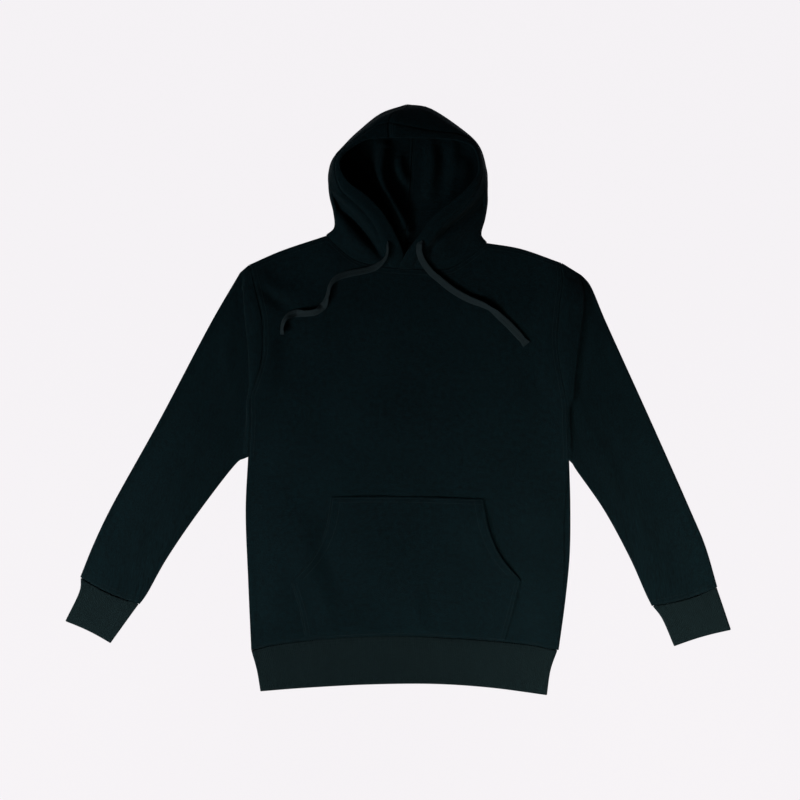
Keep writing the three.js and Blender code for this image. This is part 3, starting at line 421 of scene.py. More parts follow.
# %% Helpers for node groups
def new_group(name, inputs, outputs):
    """A shader node group with float, colour or vector sockets by name."""
    group = bpy.data.node_groups.new(name, "ShaderNodeTree")
    for label, kind, value in inputs:
        socket = group.interface.new_socket(name=label, in_out="INPUT", socket_type=kind)
        if value is not None:
            socket.default_value = value
    for label, kind in outputs:
        group.interface.new_socket(name=label, in_out="OUTPUT", socket_type=kind)
    return group, group.nodes.new("NodeGroupInput"), group.nodes.new("NodeGroupOutput")


def math_node(tree, operation, first, second=None, third=None):
    """A math node whose inputs are sockets or numbers. Returns its output socket."""
    node = tree.nodes.new("ShaderNodeMath")
    node.operation = operation
    for socket, value in zip(node.inputs, (first, second, third)):
        if isinstance(value, bpy.types.NodeSocket):
            tree.links.new(value, socket)
        elif value is not None:
            socket.default_value = value
    return node.outputs[0]


FLOAT, COLOUR, VECTOR = "NodeSocketFloat", "NodeSocketColor", "NodeSocketVector"

# %% [markdown]
# The knit group draws columns of small V shapes. A sine across the cloth gives the columns, and a
# second one along it, slanted away from each column's middle, gives the arms of the V. Pitches are
# in metres because the map of the cloth is.

# %% Knit columns
def knit_columns():
    """The group that draws the columns of a knit."""
    group, given, result = new_group(
        "knit columns",
        [("Vector", VECTOR, None), ("Column Pitch", FLOAT, 0.0013), ("Row Pitch", FLOAT, 0.001)],
        [("Height", FLOAT)],
    )
    split = group.nodes.new("ShaderNodeSeparateXYZ")
    group.links.new(given.outputs["Vector"], split.inputs[0])
    across = math_node(group, "DIVIDE", split.outputs["X"], given.outputs["Column Pitch"])
    along = math_node(group, "DIVIDE", split.outputs["Y"], given.outputs["Row Pitch"])
    off_middle = math_node(group, "SUBTRACT", math_node(group, "FRACT", across), 0.5)
    off_middle = math_node(group, "ABSOLUTE", off_middle)
    column = math_node(group, "COSINE", math_node(group, "MULTIPLY", off_middle, 2 * math.pi))
    slanted = math_node(group, "ADD", along, off_middle)
    arm = math_node(group, "SINE", math_node(group, "MULTIPLY", slanted, 2 * math.pi))
    column_part = math_node(group, "MULTIPLY_ADD", column, 0.25, 0.5)
    total = math_node(group, "MULTIPLY_ADD", arm, 0.25, column_part)
    group.links.new(total, result.inputs["Height"])
    return group


# %% [markdown]
# The fuzz group mixes three sizes of chance: specks of single tufts, blotches a few millimetres
# across where the nap lies another way, and slow clouds a hand wide.

# %% Fuzz of the nap
SPECK_WEIGHT = 2.4
BLOTCH_WEIGHT = 0.8
BLOTCH_SCALE = 0.22
CLOUD_SCALE = 9.0
NOISE_DETAIL = 2.0
ROUGHNESS_LEAST, ROUGHNESS_RANGE = 0.8, 0.2


def fuzz():
    """The group that draws the nap: its colour, its height and its roughness."""
    group, given, result = new_group(
        "fuzz",
        [("Vector", VECTOR, None), ("Colour", COLOUR, (0.02, 0.02, 0.02, 1)),
         ("Speck Size", FLOAT, 0.0016), ("Speck Strength", FLOAT, 0.4),
         ("Cloud Strength", FLOAT, 0.2)],
        [("Colour", COLOUR), ("Height", FLOAT), ("Roughness", FLOAT)],
    )

    def noise(scale):
        node = group.nodes.new("ShaderNodeTexNoise")
        group.links.new(given.outputs["Vector"], node.inputs["Vector"])
        if isinstance(scale, bpy.types.NodeSocket):
            group.links.new(scale, node.inputs["Scale"])
        else:
            node.inputs["Scale"].default_value = scale
        node.inputs["Detail"].default_value = NOISE_DETAIL
        return node.outputs["Fac"]

    def part(chance, strength):
        centred = math_node(group, "SUBTRACT", chance, 0.5)
        return math_node(group, "MULTIPLY", centred, given.outputs[strength])

    speck = noise(math_node(group, "DIVIDE", 1.0, given.outputs["Speck Size"]))
    blotch = noise(math_node(group, "DIVIDE", BLOTCH_SCALE, given.outputs["Speck Size"]))
    cloud = noise(CLOUD_SCALE)
    speck_part = math_node(group, "MULTIPLY", part(speck, "Speck Strength"), SPECK_WEIGHT)
    fine = math_node(group, "MULTIPLY_ADD", part(blotch, "Speck Strength"), BLOTCH_WEIGHT, speck_part)
    cloud_part = part(cloud, "Cloud Strength")
    total = math_node(group, "ADD", math_node(group, "ADD", fine, cloud_part), 1.0)
    bright = group.nodes.new("ShaderNodeVectorMath")
    bright.operation = "SCALE"
    group.links.new(given.outputs["Colour"], bright.inputs[0])
    group.links.new(total, bright.inputs["Scale"])
    group.links.new(bright.outputs["Vector"], result.inputs["Colour"])
    group.links.new(speck, result.inputs["Height"])
    roughness = math_node(group, "MULTIPLY_ADD", blotch, ROUGHNESS_RANGE, ROUGHNESS_LEAST)
    group.links.new(roughness, result.inputs["Roughness"])
    return group


KNIT, FUZZ = knit_columns(), fuzz()
print("node groups", [group.name for group in (KNIT, FUZZ)])

# %% [markdown]
# Each finish places the two groups and adds its own shader. Sheen stands for the fibre ends that
# stick out of the cloth. It is the same all over, so it is set on the shader itself. Three rows of
# values give the three finishes: pitches and depths are in metres, and the colours are almost black
# with a cold tint, as dyed cotton is.

# %% Cloth finishes
def cloth_finish(name, colour, speck, cloud, column_pitch, row_pitch, knit_depth, fuzz_depth, sheen):
    """A material for knitted cloth that is mapped in metres."""
    material = bpy.data.materials.new(name)
    material.use_nodes = True
    tree = material.node_tree
    shader = tree.nodes["Principled BSDF"]
    shader.inputs["Sheen Weight"].default_value = sheen
    shader.inputs["Sheen Roughness"].default_value = 0.45
    shader.inputs["Sheen Tint"].default_value = (0.55, 0.75, 0.8, 1)
    shader.inputs["Specular IOR Level"].default_value = 0.04
    place = tree.nodes.new("ShaderNodeUVMap")
    place.uv_map = "cloth"
    nap = tree.nodes.new("ShaderNodeGroup")
    nap.node_tree = FUZZ
    nap.inputs["Colour"].default_value = (*colour, 1)
    nap.inputs["Speck Strength"].default_value = speck
    nap.inputs["Cloud Strength"].default_value = cloud
    knit = tree.nodes.new("ShaderNodeGroup")
    knit.node_tree = KNIT
    knit.inputs["Column Pitch"].default_value = column_pitch
    knit.inputs["Row Pitch"].default_value = row_pitch
    for node in (nap, knit):
        tree.links.new(place.outputs["UV"], node.inputs["Vector"])
    height = math_node(tree, "MULTIPLY_ADD", nap.outputs["Height"], fuzz_depth / knit_depth,
                       knit.outputs["Height"])
    bump = tree.nodes.new("ShaderNodeBump")
    bump.inputs["Distance"].default_value = knit_depth
    bump.inputs["Strength"].default_value = 0.8
    tree.links.new(height, bump.inputs["Height"])
    tree.links.new(bump.outputs["Normal"], shader.inputs["Normal"])
    tree.links.new(nap.outputs["Colour"], shader.inputs["Base Color"])
    tree.links.new(nap.outputs["Roughness"], shader.inputs["Roughness"])
    return material


# %% Three cloths
CLOTHS = {
    "fleece": {"colour": (0.0015, 0.0064, 0.0086), "speck": 1.5, "cloud": 0.5, "column_pitch": 0.0013,
               "row_pitch": 0.001, "knit_depth": 0.0003, "fuzz_depth": 0.0008, "sheen": 0.016},
    "rib": {"colour": (0.0036, 0.009, 0.0107), "speck": 0.6, "cloud": 0.2, "column_pitch": 0.0011,
            "row_pitch": 0.0009, "knit_depth": 0.0003, "fuzz_depth": 0.0004, "sheen": 0.02},
    "cord": {"colour": (0.010, 0.0175, 0.021), "speck": 0.3, "cloud": 0.1, "column_pitch": 0.0024,
             "row_pitch": 0.0022, "knit_depth": 0.0005, "fuzz_depth": 0.0002, "sheen": 0.03},
}
FINISHES = {name: cloth_finish(name, **values) for name, values in CLOTHS.items()}
print("cloth finishes", [*FINISHES])


# %% Sewing thread
def thread_finish():
    """Sewing thread, a little glossier than the cloth."""
    material = bpy.data.materials.new("thread")
    material.use_nodes = True
    tree = material.node_tree
    shader = tree.nodes["Principled BSDF"]
    shader.inputs["Specular IOR Level"].default_value = 0.1
    place = tree.nodes.new("ShaderNodeTexCoord")
    nap = tree.nodes.new("ShaderNodeGroup")
    nap.node_tree = FUZZ
    nap.inputs["Colour"].default_value = (0.0035, 0.0095, 0.012, 1)
    nap.inputs["Speck Size"].default_value = 0.0008
    tree.links.new(place.outputs["Object"], nap.inputs["Vector"])
    tree.links.new(nap.outputs["Colour"], shader.inputs["Base Color"])
    shader.inputs["Roughness"].default_value = 0.6
    return material


THREAD = thread_finish()
print("thread finish", THREAD.name)

# %% [markdown]
# ## Where the layers lie
#
# A garment that lies flat is two layers of cloth. The back lies on the table, and the front lies on
# the back with a little air in the middle of it. The sleeves are tubes of the same two layers, and
# where they meet the body their cloth first runs out from the seam and then folds under itself.

# %% Layers and armholes
SEAM_GAP = 0.3
LAYER_GAP = 0.4
LOW = FLEECE / 2
HIGH = FLEECE * 1.5 + LAYER_GAP
TURN = (HIGH - LOW) / 2
EDGE_INSET = TURN + FLEECE / 2
CROWN = 3
CROWN_RAMP = 60
NECK_LEVEL = 205
HEM_LEVEL = -385
FOLD_RAMP = 50

# Each row of an armhole: x, y, strip of sleeve cloth that shows, angle of the fold, tuck below it,
# length of the cloth that goes round one bend.
ARMHOLE_RIGHT = np.array([
    (-241, 219, 13, 12, 0.6, 4.7),
    (-234, 190, 18, 70, 1, 4.7),
    (-227, 162, 24, 130, 4, 4.9),
    (-220, 128, 28, 170, 8, 5.2),
    (-220, 73, 23, 170, 8, 5.2),
    (-233, 24, 9, 130, 2, 4.9),
    (-240, 4, 4, 100, 0.8, 4.7),
    (-240, -34, 3, 70, 0.6, 4.7),
    (-243, -92, 3, 12, 0.6, 4.7),
])
ARMHOLE_LEFT = np.array([
    (264, 222, 32, 12, 0.6, 4.7),
    (267, 190, 33, 110, 2, 5.6),
    (262, 150, 39, 170, 10, 8.4),
    (258, 96, 37, 180, 14, 8.8),
    (262, 57, 28, 180, 11, 8.6),
    (267, 29, 20, 170, 6, 7),
    (272, 4, 13, 150, 2, 5.6),
    (274, -16, 4, 120, 0.8, 4.7),
    (275, -49, 3, 90, 0.6, 4.7),
    (277, -97, 3, 12, 0.6, 4.7),
])
ARMHOLE_BACK_RIGHT = [(-241, 219), (-229, 130), (-230, 20), (-243, -92)]
ARMHOLE_BACK_LEFT = [(264, 222), (256, 130), (260, 20), (277, -97)]


# %% How the sleeve folds under
STRIP_CROWN = 1.5
FULL_CROWN_STRIP = 24
LEAST_FLAT = 1.2


def fold_profile(strip, angle, tuck, bend):
    """Path of the cloth out from the seam and up from the sleeve's level, and its whole drop."""
    turn = np.radians(angle)
    radius = bend / turn
    reach = np.where(angle > 90, radius + FLEECE / 2, radius * np.sin(turn))
    flat = np.maximum(strip - reach, LEAST_FLAT)
    drop = 2 * radius * (1 - np.cos(turn)) + tuck * np.sin(turn)
    crown = np.where(angle > 90, STRIP_CROWN * np.minimum(strip / FULL_CROWN_STRIP, 1.2), 0)
    path = [(flat * share, drop + crown * math.sin(math.pi * share)) for share in np.linspace(0, 1, 9)]
    for share in np.linspace(0, 1, 8)[1:]:
        bent = turn * share
        path.append((flat + radius * np.sin(bent), drop - radius * (1 - np.cos(bent))))
    turn_out, turn_level = path[-1]
    back_out, back_level = turn_out + tuck * np.cos(turn), turn_level - tuck * np.sin(turn)
    path.append(((turn_out + back_out) / 2, (turn_level + back_level) / 2))
    for share in np.linspace(0, 1, 8):
        bent = turn * (1 - share)
        path.append((back_out + radius * (np.sin(turn) - np.sin(bent)),
                     back_level - radius * (np.cos(bent) - np.cos(turn))))
    return np.array(path), drop


# %% How the folds lift the front
FOLD_ENDS = 20


def armhole_lift(armhole, y):
    """How much the fold at an armhole lifts the cloth at a height of the body."""
    level = -armhole[:, 1]
    drop = fold_profile(*armhole[:, 2:].T)[1]
    top, foot = level[0], level[-1]
    inside = ramp((-y - top + FOLD_ENDS) / FOLD_ENDS) * ramp((foot + FOLD_ENDS + y) / FOLD_ENDS)
    return inside * read_table(level, drop, np.clip(-y, top, foot))


def armhole_x(armhole, y):
    """Place of an armhole seam at a height of the body."""
    level = -armhole[:, 1]
    return read_table(level, armhole[:, 0], np.clip(-y, level[0], level[-1]))


def front_underside(x, y):
    """Underside of the front panel above the table."""
    right, left = armhole_x(ARMHOLE_RIGHT, y), armhole_x(ARMHOLE_LEFT, y)
    from_sides = ramp((x - right) / CROWN_RAMP) * ramp((left - x) / CROWN_RAMP)
    from_ends = ramp((NECK_LEVEL - y) / CROWN_RAMP) * ramp((y - HEM_LEVEL) / CROWN_RAMP)
    lift = armhole_lift(ARMHOLE_RIGHT, y) * ramp(1 - (x - right) / FOLD_RAMP)
    lift += armhole_lift(ARMHOLE_LEFT, y) * ramp(1 - (left - x) / FOLD_RAMP)
    return FLEECE + LAYER_GAP + from_sides * from_ends * CROWN + lift


print("front lies", round(float(front_underside(10.0, 0.0)), 1), "mm above the table in its middle")

# %% [markdown]
# ## Cords
#
# The drawcord is one flat braid inside the hem of the hood, and its two ends come out at the neck and
# lie on the chest. Its route follows the braid's middle, point by point, and it turns on its edge
# where the braid twists. The cords come before the cloth, because their room is settled first.

# %% Routes of the cord ends
CORD_WIDTH = 14
CORD_THICK = 2.6
CORD_CLEAR = 0.9
CORD_TUCK = (0, 7, -6)
CORD_STARTS = 0.05
CORD_SINK = 5
CORD_SINK_RUN = 0.035
CORD_LIFT = 0.9
CORD_LIFT_STARTS = 0.06
CORD_LIFT_RUN = 0.07
CORD_STEP = 1.6
CORD_SIDES = 24
CORD_RIGHT = [
    (-17, 262, 31.4), (-17, 252, 27.4), (-17, 241, 22.8), (-20, 230, 17.4), (-30, 219, 10.2),
    (-44, 212), (-62, 208), (-81, 204), (-98, 198), (-109, 187), (-114, 170), (-120, 154),
    (-132, 143), (-150, 140), (-168, 140), (-181, 133), (-187, 120), (-187, 106),
]
CORD_LEFT = [
    (39, 263, 40.6), (35, 253, 36.9), (34, 242, 31.9), (37, 230, 23.5), (44, 218, 14.1),
    (54, 206, 8.4), (68, 194), (84, 181), (101, 170), (119, 161), (137, 154), (153, 145),
    (168, 132), (182, 119), (196, 104), (208, 90),
]


def cord_route(rows):
    """Route points with heights, from inside the hem out and down onto the front panel."""
    over_cloth = FLEECE + CORD_CLEAR + CORD_THICK / 2
    points = [np.add(rows[0], CORD_TUCK)]
    for row in rows:
        x, y = float(row[0]), float(row[1])
        z = row[2] if len(row) > 2 else float(front_underside(x, y)) + over_cloth
        points.append((x, y, z))
    return np.array(points)


# %% Flat braid as a mesh
def braid(name, rows, tilts, tip):
    """A flat braid along a route. tilts are (share, degrees), tip is (share, width) near its end."""
    line = line_through(cord_route(rows))
    length = lengths_along(line(np.linspace(0, 1, 600)))[-1]
    shares = np.linspace(CORD_STARTS, 1, int(length / CORD_STEP))
    points = line(shares)
    tilt = np.radians(np.interp(shares, *zip(*tilts)))
    width = CORD_WIDTH / 2 * np.interp(shares, *zip(*tip))
    along = np.gradient(points, axis=0)
    along /= np.linalg.norm(along, axis=1, keepdims=True)
    level = np.cross(along, (0, 0, 1.0))
    level /= np.linalg.norm(level, axis=1, keepdims=True)
    up = np.cross(level, along)
    across = level * np.cos(tilt)[:, None] + up * np.sin(tilt)[:, None]
    thick = np.cross(across, along)
    on_edge = np.abs(np.sin(tilt)) * (width - CORD_THICK / 2)
    points[:, 2] += ramp((shares - CORD_LIFT_STARTS) / CORD_LIFT_RUN) * on_edge * CORD_LIFT
    points[:, 2] -= CORD_SINK * ramp(1 - (shares - CORD_STARTS) / CORD_SINK_RUN)
    turn = np.linspace(0, 2 * math.pi, CORD_SIDES, endpoint=False)
    flat = np.sign(np.cos(turn)) * np.abs(np.cos(turn)) ** 0.8
    bulge = np.sign(np.sin(turn)) * np.abs(np.sin(turn)) ** 0.55 * (1 - 0.22 * np.cos(2 * turn) ** 2)
    rings = points[:, None] + across[:, None] * (flat[None, :, None] * width[:, None, None])
    rings += thick[:, None] * (bulge * CORD_THICK / 2)[None, :, None]
    count, sides = rings.shape[:2]
    index = np.arange(count * sides).reshape(count, sides)
    faces = quads(ring_of(index))
    v, u = np.meshgrid(shares * length, np.linspace(0, 2 * CORD_WIDTH, sides + 1), indexing="ij")
    maps = quads(np.arange(count * (sides + 1)).reshape(count, sides + 1))
    caps, cap_maps = [], []
    for end, flip in ((index[0], False), (index[-1], True)):
        for k in range(sides // 2 - 1):
            face = (end[k], end[k + 1], end[sides - 2 - k], end[sides - 1 - k])
            caps.append(face if flip else face[::-1])
            cap_maps.append((0, 1, sides + 2, sides + 1))
    mapped = np.stack([u, v], axis=-1).reshape(-1, 2) * MM
    obj = mesh_object(name, rings.reshape(-1, 3), np.concatenate([faces, np.array(caps)]),
                      mapped[np.concatenate([maps, np.array(cap_maps)])])
    obj.data.materials.append(FINISHES["cord"])
    shown = lengths_along(points)[-1]
    print(name, "shows", round(shown), "mm")
    return obj, points * MM, shown * MM


# %% Both cord ends
CORD_TIPS = [(0, 0.8), (0.5, 0.84), (0.94, 0.88), (0.965, 0.72), (0.985, 0.95), (1, 1.0)]
CORD_END_RIGHT = {
    "rows": CORD_RIGHT,
    "tilts": [(0, -76), (0.14, -74), (0.19, -60), (0.25, -22), (0.42, -20), (0.48, -34), (0.53, -62),
               (0.61, -64), (0.66, -10), (0.7, 36), (0.79, 36), (0.85, -15), (0.9, -58), (1, -64)],
    "tip": CORD_TIPS,
}
CORD_END_LEFT = {
    "rows": CORD_LEFT,
    "tilts": [(0, -60), (0.1, -34), (0.2, -24), (0.55, -22), (0.66, -45), (0.7, -56), (0.74, -35),
               (0.8, -10), (1, -3)],
    "tip": CORD_TIPS,
}
for side, end in (("right", CORD_END_RIGHT), ("left", CORD_END_LEFT)):
    cord, path, shown = braid("cord_end_" + side, **end)
    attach(cord, "root")
    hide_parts("cord_" + side)

# %% [markdown]
# ## Sewing a piece of cloth
#
# Every sewn piece is one object that stands for its solid, which is hidden. The piece gets its finish,
# and its stitched seams get thread.


def sew(obj, node, slot, seams=()):
    """Gives a piece and its stitched seams their finishes, hangs them from the root and hides the solid.
    """
    obj.data.materials.append(FINISHES[slot])
    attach(obj, "root")
    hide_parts(node)
    for seam in seams:
        seam.data.materials.append(THREAD)
        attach(seam, "root")


def edge_distances(grid):
    """Distance of each grid point from the four edges, along the cloth."""
    from_right, from_foot = running_lengths(grid)
    return {
        "right": from_right,
        "left": from_right[:, -1:] - from_right,
        "foot": from_foot,
        "top": from_foot[-1:] - from_foot,
    }


def seam_relief(distance, along, dip=0.7, pucker=0.22, pitch=15, reach=9):
    """Cloth beside a seam: it dips to the seam and puckers a little along it."""
    uneven = np.sin(2 * math.pi * along / pitch + 1.7 * np.sin(along / 31))
    return pucker * uneven * np.exp(-(distance / reach) ** 2) - dip * np.exp(-(distance / 2.2) ** 2)


# %% [markdown]
# ## Hood
#
# The hood is two panels with a seam down the middle of the head. Thrown open as it lies here, each
# panel starts at the rim of the opening, runs down the outside, bends round at the side and comes
# back along the table to the seam. So a panel is drawn as sections from the neck up to the crown,
# each through nine key points. A smooth line through the key points gives the cloth.

# %% Hood tables
HOOD_AT = [0, 0.12, 0.28, 0.44, 0.56, 0.66, 0.75, 0.84, 0.91, 0.96, 1]
HOOD_RIGHT = {
    "rim": [(10, 216, HIGH), (6, 247, 18), (-20, 297, 36), (-50, 330, 43), (-78, 351, 45),
            (-91, 371, 46), (-91, 389, 46), (-76, 405, 46), (-52, 418, 47), (-33, 421, 48),
            (-15, 422, 48)],
    "hem": [(-14, 215, HIGH), (-22, 240, 17), (-39, 283, 34), (-66, 315, 39), (-92, 339, 39),
            (-101, 367, 41), (-98, 391, 42), (-81, 410, 42), (-58, 427, 44), (-35, 442, 46),
            (-15, 447, 47)],
    "shelf": [(-71, 228, HIGH), (-66, 251, 14), (-74, 284, 20), (-92, 314, 27), (-103, 338, 31),
              (-106, 366, 35), (-102, 392, 36), (-83, 412, 37), (-60, 431, 39), (-31, 452, 42),
              (-8, 462, 42)],
    "side": [(-117, 267), (-104, 279), (-105, 303), (-111, 328), (-113, 346), (-113, 367),
             (-106, 390), (-84, 416), (-62, 437), (-27, 464), (14, 478)],
    "bend": [(139, TURN, TURN), (170, 5, 5), (182, 9, 8), (178, 12, 8), (178, 14, 7), (178, 15, 6),
             (160, 16, 5), (140, 16, 5), (130, 16, 6), (112, 17, 10), (90, 17, 12)],
    "mid": [(-55, 259), (-48, 270), (-46, 297), (-46, 326), (-46, 346), (-46, 364), (-43, 385),
            (-36, 405), (-22, 422), (-4, 442), (20, 461)],
}
HOOD_LEFT = {
    "rim": [(0, 214, HIGH + 3.4), (14, 240, 25), (36, 269, 37), (60, 301, 43), (88, 322, 45),
            (114, 345, 46), (129, 370, 46), (121, 405, 46), (95, 417, 47), (50, 421, 48),
            (-15, 422, 48)],
    "hem": [(24, 213, HIGH + 1), (36, 234, 20), (56, 256, 32), (79, 287, 38), (104, 310, 39),
            (127, 341, 41), (134, 371, 42), (125, 409, 43), (97, 427, 44), (52, 434, 46),
            (-15, 447, 47)],
    "shelf": [(82, 214, HIGH), (84, 240, 12), (98, 266, 18), (112, 290, 25), (125, 318, 31),
              (134, 345, 35), (137, 372, 37), (127, 411, 38), (99, 433, 40), (56, 448, 42),
              (-8, 462, 42)],
    "side": [(144, 255), (135, 268), (141, 293), (145, 318), (145, 337), (145, 354), (143, 374),
             (131, 411), (102, 439), (51, 472), (14, 478)],
    "bend": [(33, TURN, TURN), (8, 5, 5), (-4, 9, 8), (0, 12, 9), (0, 14, 8), (2, 15, 7),
             (8, 16, 6), (32, 16, 5), (52, 16, 6), (72, 17, 11), (90, 17, 12)],
    "mid": [(80, 254), (75, 268), (78, 294), (80, 322), (82, 345), (82, 362), (80, 380),
            (72, 405), (62, 424), (42, 446), (20, 461)],
}
HOOD_SEAM = [(13, 254), (13, 268), (15, 296), (18, 326), (20, 346), (21, 363), (22, 381),
             (23, 398), (24, 414), (24, 430), (24, 446)]
BEND_ANGLES = np.radians([30, 90, 150, 180])
HOOD_OUTSIDE_CREASES = [
    {"rows": [(-112, 326), (-90, 310), (-64, 284), (-38, 251), (-22, 232)], "width": 9,
     "rise": -16, "fade": 0.2},
    {"rows": [(-104, 336), (-78, 312), (-52, 284), (-34, 262)], "width": 5, "rise": 5},
    {"rows": [(-96, 291), (-72, 262), (-50, 243)], "width": 11, "rise": 4},
    {"rows": [(146, 330), (118, 308), (88, 284), (62, 262), (52, 248)], "width": 8,
     "rise": -19, "fade": 0.2},
    {"rows": [(132, 328), (100, 302), (76, 282), (58, 268)], "width": 5, "rise": 7},
    {"rows": [(128, 296), (92, 266), (62, 243)], "width": 11, "rise": 4},
]
HOOD_INSIDE_CREASES = [
    {"rows": [(-22, 410), (-28, 372), (-23, 347), (-14, 330), (-3, 310), (5, 296), (13, 274)],
     "width": 9.5, "rise": 24, "fade": 0.25},
    {"rows": [(2, 396), (4, 372), (14, 350)], "width": 8, "rise": 11},
    {"rows": [(25, 416), (26, 390), (24, 360)], "width": 3.5, "rise": -1.1, "fade": 0.3},
    {"rows": [(54, 416), (56, 380), (50, 335)], "width": 10, "rise": 12, "fade": 0.3},
    {"rows": [(88, 420), (90, 380), (82, 330)], "width": 9, "rise": 8, "fade": 0.3},
    {"rows": [(106, 396), (106, 366), (92, 336)], "width": 14, "rise": 9},
]


# %% Sections of a hood panel
def hood_keys(table, at):
    """Nine key points of each section, from the rim over the side to the centre seam."""
    column = {name: read_table(HOOD_AT, rows, at) for name, rows in table.items()}
    angle, half, depth = np.radians(column["bend"][:, 0]), column["bend"][:, 1], column["bend"][:, 2]
    out = np.stack([np.cos(angle), np.sin(angle)], axis=-1)
    centre = column["side"] - out * (depth + FLEECE / 2)[:, None]
    bend = [np.concatenate([centre + out * (depth * math.sin(turn))[:, None],
                            (LOW + half * (1 + math.cos(turn)))[:, None]], axis=-1)
            for turn in BEND_ANGLES]
    on_table = np.full((len(at), 1), LOW)
    mid = np.concatenate([column["mid"], on_table], axis=-1)
    seam = np.concatenate([read_table(HOOD_AT, HOOD_SEAM, at), on_table], axis=-1)
    return np.stack([column["rim"], column["hem"], column["shelf"], *bend, mid, seam], axis=1)


HOOD_COUNTS = [10, 20, 16, 7, 6, 6, 22, 28]
HOOD_STOPS = np.concatenate([
    *(start + np.arange(count) / count for start, count in enumerate(HOOD_COUNTS)), [8],
])
HOOD_SECTIONS = 120
FIRST_BEND_KEY = 3
FIRST_TABLE_KEY = 6
NECK_FADE = 0.1
END_FADE = 0.08
HOOD_WAVES = 0.8
HOOD_WAVE_SIZE = 45


def hood_grid(table, seed):
    """Grid of a hood panel with its folds, which fade out at the neck seam."""
    at = np.linspace(0, 1, HOOD_SECTIONS)
    grid = smooth_through(hood_keys(table, at), HOOD_STOPS)
    x, y, z = grid[..., 0], grid[..., 1], grid[..., 2]
    fade = ramp(at / NECK_FADE)[:, None]
    stop = HOOD_STOPS[None, :]
    before_bend = stop < FIRST_BEND_KEY
    inside = fade * ramp((stop - FIRST_TABLE_KEY) / 0.6)
    grid[..., 2] += inside * creases(x, y, HOOD_INSIDE_CREASES)
    grid[..., 2] = np.where(stop > FIRST_TABLE_KEY, np.maximum(z, LOW), z)
    outside = fade * ramp((stop - 0.9) / 0.4) * before_bend
    grid[..., 2] += outside * creases(x, y, HOOD_OUTSIDE_CREASES)
    off_ends = np.minimum(ramp(at / END_FADE), ramp((1 - at) / END_FADE))[:, None]
    waved = off_ends * ramp((stop - 1.1) / 0.5) * before_bend
    grid[..., 2] += waved * HOOD_WAVES * slow_waves(x, y, seed, HOOD_WAVE_SIZE)
    print("hood panel rises to", round(float(grid[..., 2].max()), 1), "mm")
    return grid


# %% Both hood panels
HEM_PLUMP = 1.9
HEM_PLUMP_START = 0.12
HEM_GROOVE = 1.3
HEM_GROOVE_WIDTH = 0.11
HEM_PLUMP_INSIDE = 0.3
CROWN_STITCHES = (2.6, 6.0)
CENTRE_STITCHES = 3.0
TABLE_COLUMNS_START = 60


def hood_thickness():
    """Thickness over the middle: plump along the hem, with a groove at its stitches."""
    stop = np.clip(HOOD_STOPS, 0, 1)
    turn = math.pi * (HEM_PLUMP_START + (1 - HEM_PLUMP_START) * stop)
    plump = HEM_PLUMP * np.sqrt(np.clip(np.sin(turn), 0, 1))
    groove = HEM_GROOVE * np.exp(-((HOOD_STOPS - 1) / HEM_GROOVE_WIDTH) ** 2)
    return FLEECE / 2 + plump - groove


def neck_line(stops):
    """Points of the neck seam on the right and the left panel at stops along the first section."""
    return [smooth_through(hood_keys(table, np.array([0.0])), stops)[0]
            for table in (HOOD_RIGHT, HOOD_LEFT)]


hood = {"right": hood_grid(HOOD_RIGHT, 11), "left": hood_grid(HOOD_LEFT, 12)}
ways = {"right": -facing(hood["right"]), "left": facing(hood["left"])}
shared = ways["right"] + ways["left"]
shared /= np.maximum(np.linalg.norm(shared, axis=-1, keepdims=True), 1e-9)
for side, way in ways.items():
    way[:, -1] = shared[:, -1]
    way[-1] = shared[-1]
    panel, outer, inner = wall("hood_panel_" + side, hood[side], over=hood_thickness(),
                               under=FLEECE / 2 + HEM_PLUMP_INSIDE * (HOOD_STOPS < 1), normals=way)
    hem_at = int(np.argmin(np.abs(HOOD_STOPS - 1)))
    rows = [outer[2:, hem_at]]
    rows += [line_inside(outer, "top", distance) for distance in CROWN_STITCHES]
    rows += [line_inside(inner[:, TABLE_COLUMNS_START:], "left", CENTRE_STITCHES)]
    seams = [stitches("hood_stitches_" + side, rows)]
    sew(panel, "hood_" + side, "fleece", seams=seams)

# %% [markdown]
# ## Body
#
# Front and back are one panel each. Their edges are the hem seam, the side seams with the armholes
# above them, and the shoulders with the neck between. The neck edge repeats the first section of the
# hood, so that the hood really grows out of it.

# %% Edges of the body
HEM_SEAM = [(-238, -405), (-198, -396), (-120, -387), (-12, -382), (100, -386), (211, -396),
            (258, -405)]
SIDE_RIGHT = [(-238, -405), (-243, -292), (-247, -178), (-243, -92)]
SIDE_LEFT_FRONT = [(258, -405), (265, -340), (269, -280), (269, -200), (277, -97)]
SIDE_LEFT_BACK = [(260, -405), (271, -324), (278, -250), (279, -170), (277, -97)]
SHOULDER_RIGHT = [(-241, 219), (-191, 241), (-117, 267)]
SHOULDER_LEFT = [(144, 255), (198, 245), (264, 222)]
SHOULDER_SHARE = 1 / 6
SIDE_SHARE = 0.5
ARMPIT = -92
SHOULDER_LENGTH, NECK_LENGTH, BODY_WIDTH = 134, 290, 520
SIDE_LENGTH, ARMHOLE_LENGTH, BODY_LENGTH = 313, 311, 630
HEM_STOP, SIDE_STOP, SEAM_STOP = 1, 4, 8
print("hem seam spans", HEM_SEAM[-1][0] - HEM_SEAM[0][0], "mm")


# %% Grid of a body panel
def neck_edge(first, last, overlap):
    """The neck seam from the wearer's right to the left, between two stops of the hood's section."""
    right, left = neck_line(np.linspace(first, last, 60))
    if overlap:
        return np.concatenate([right[::-1], left])[:, :2]
    return np.concatenate([right, left[::-1][1:]])[:, :2]


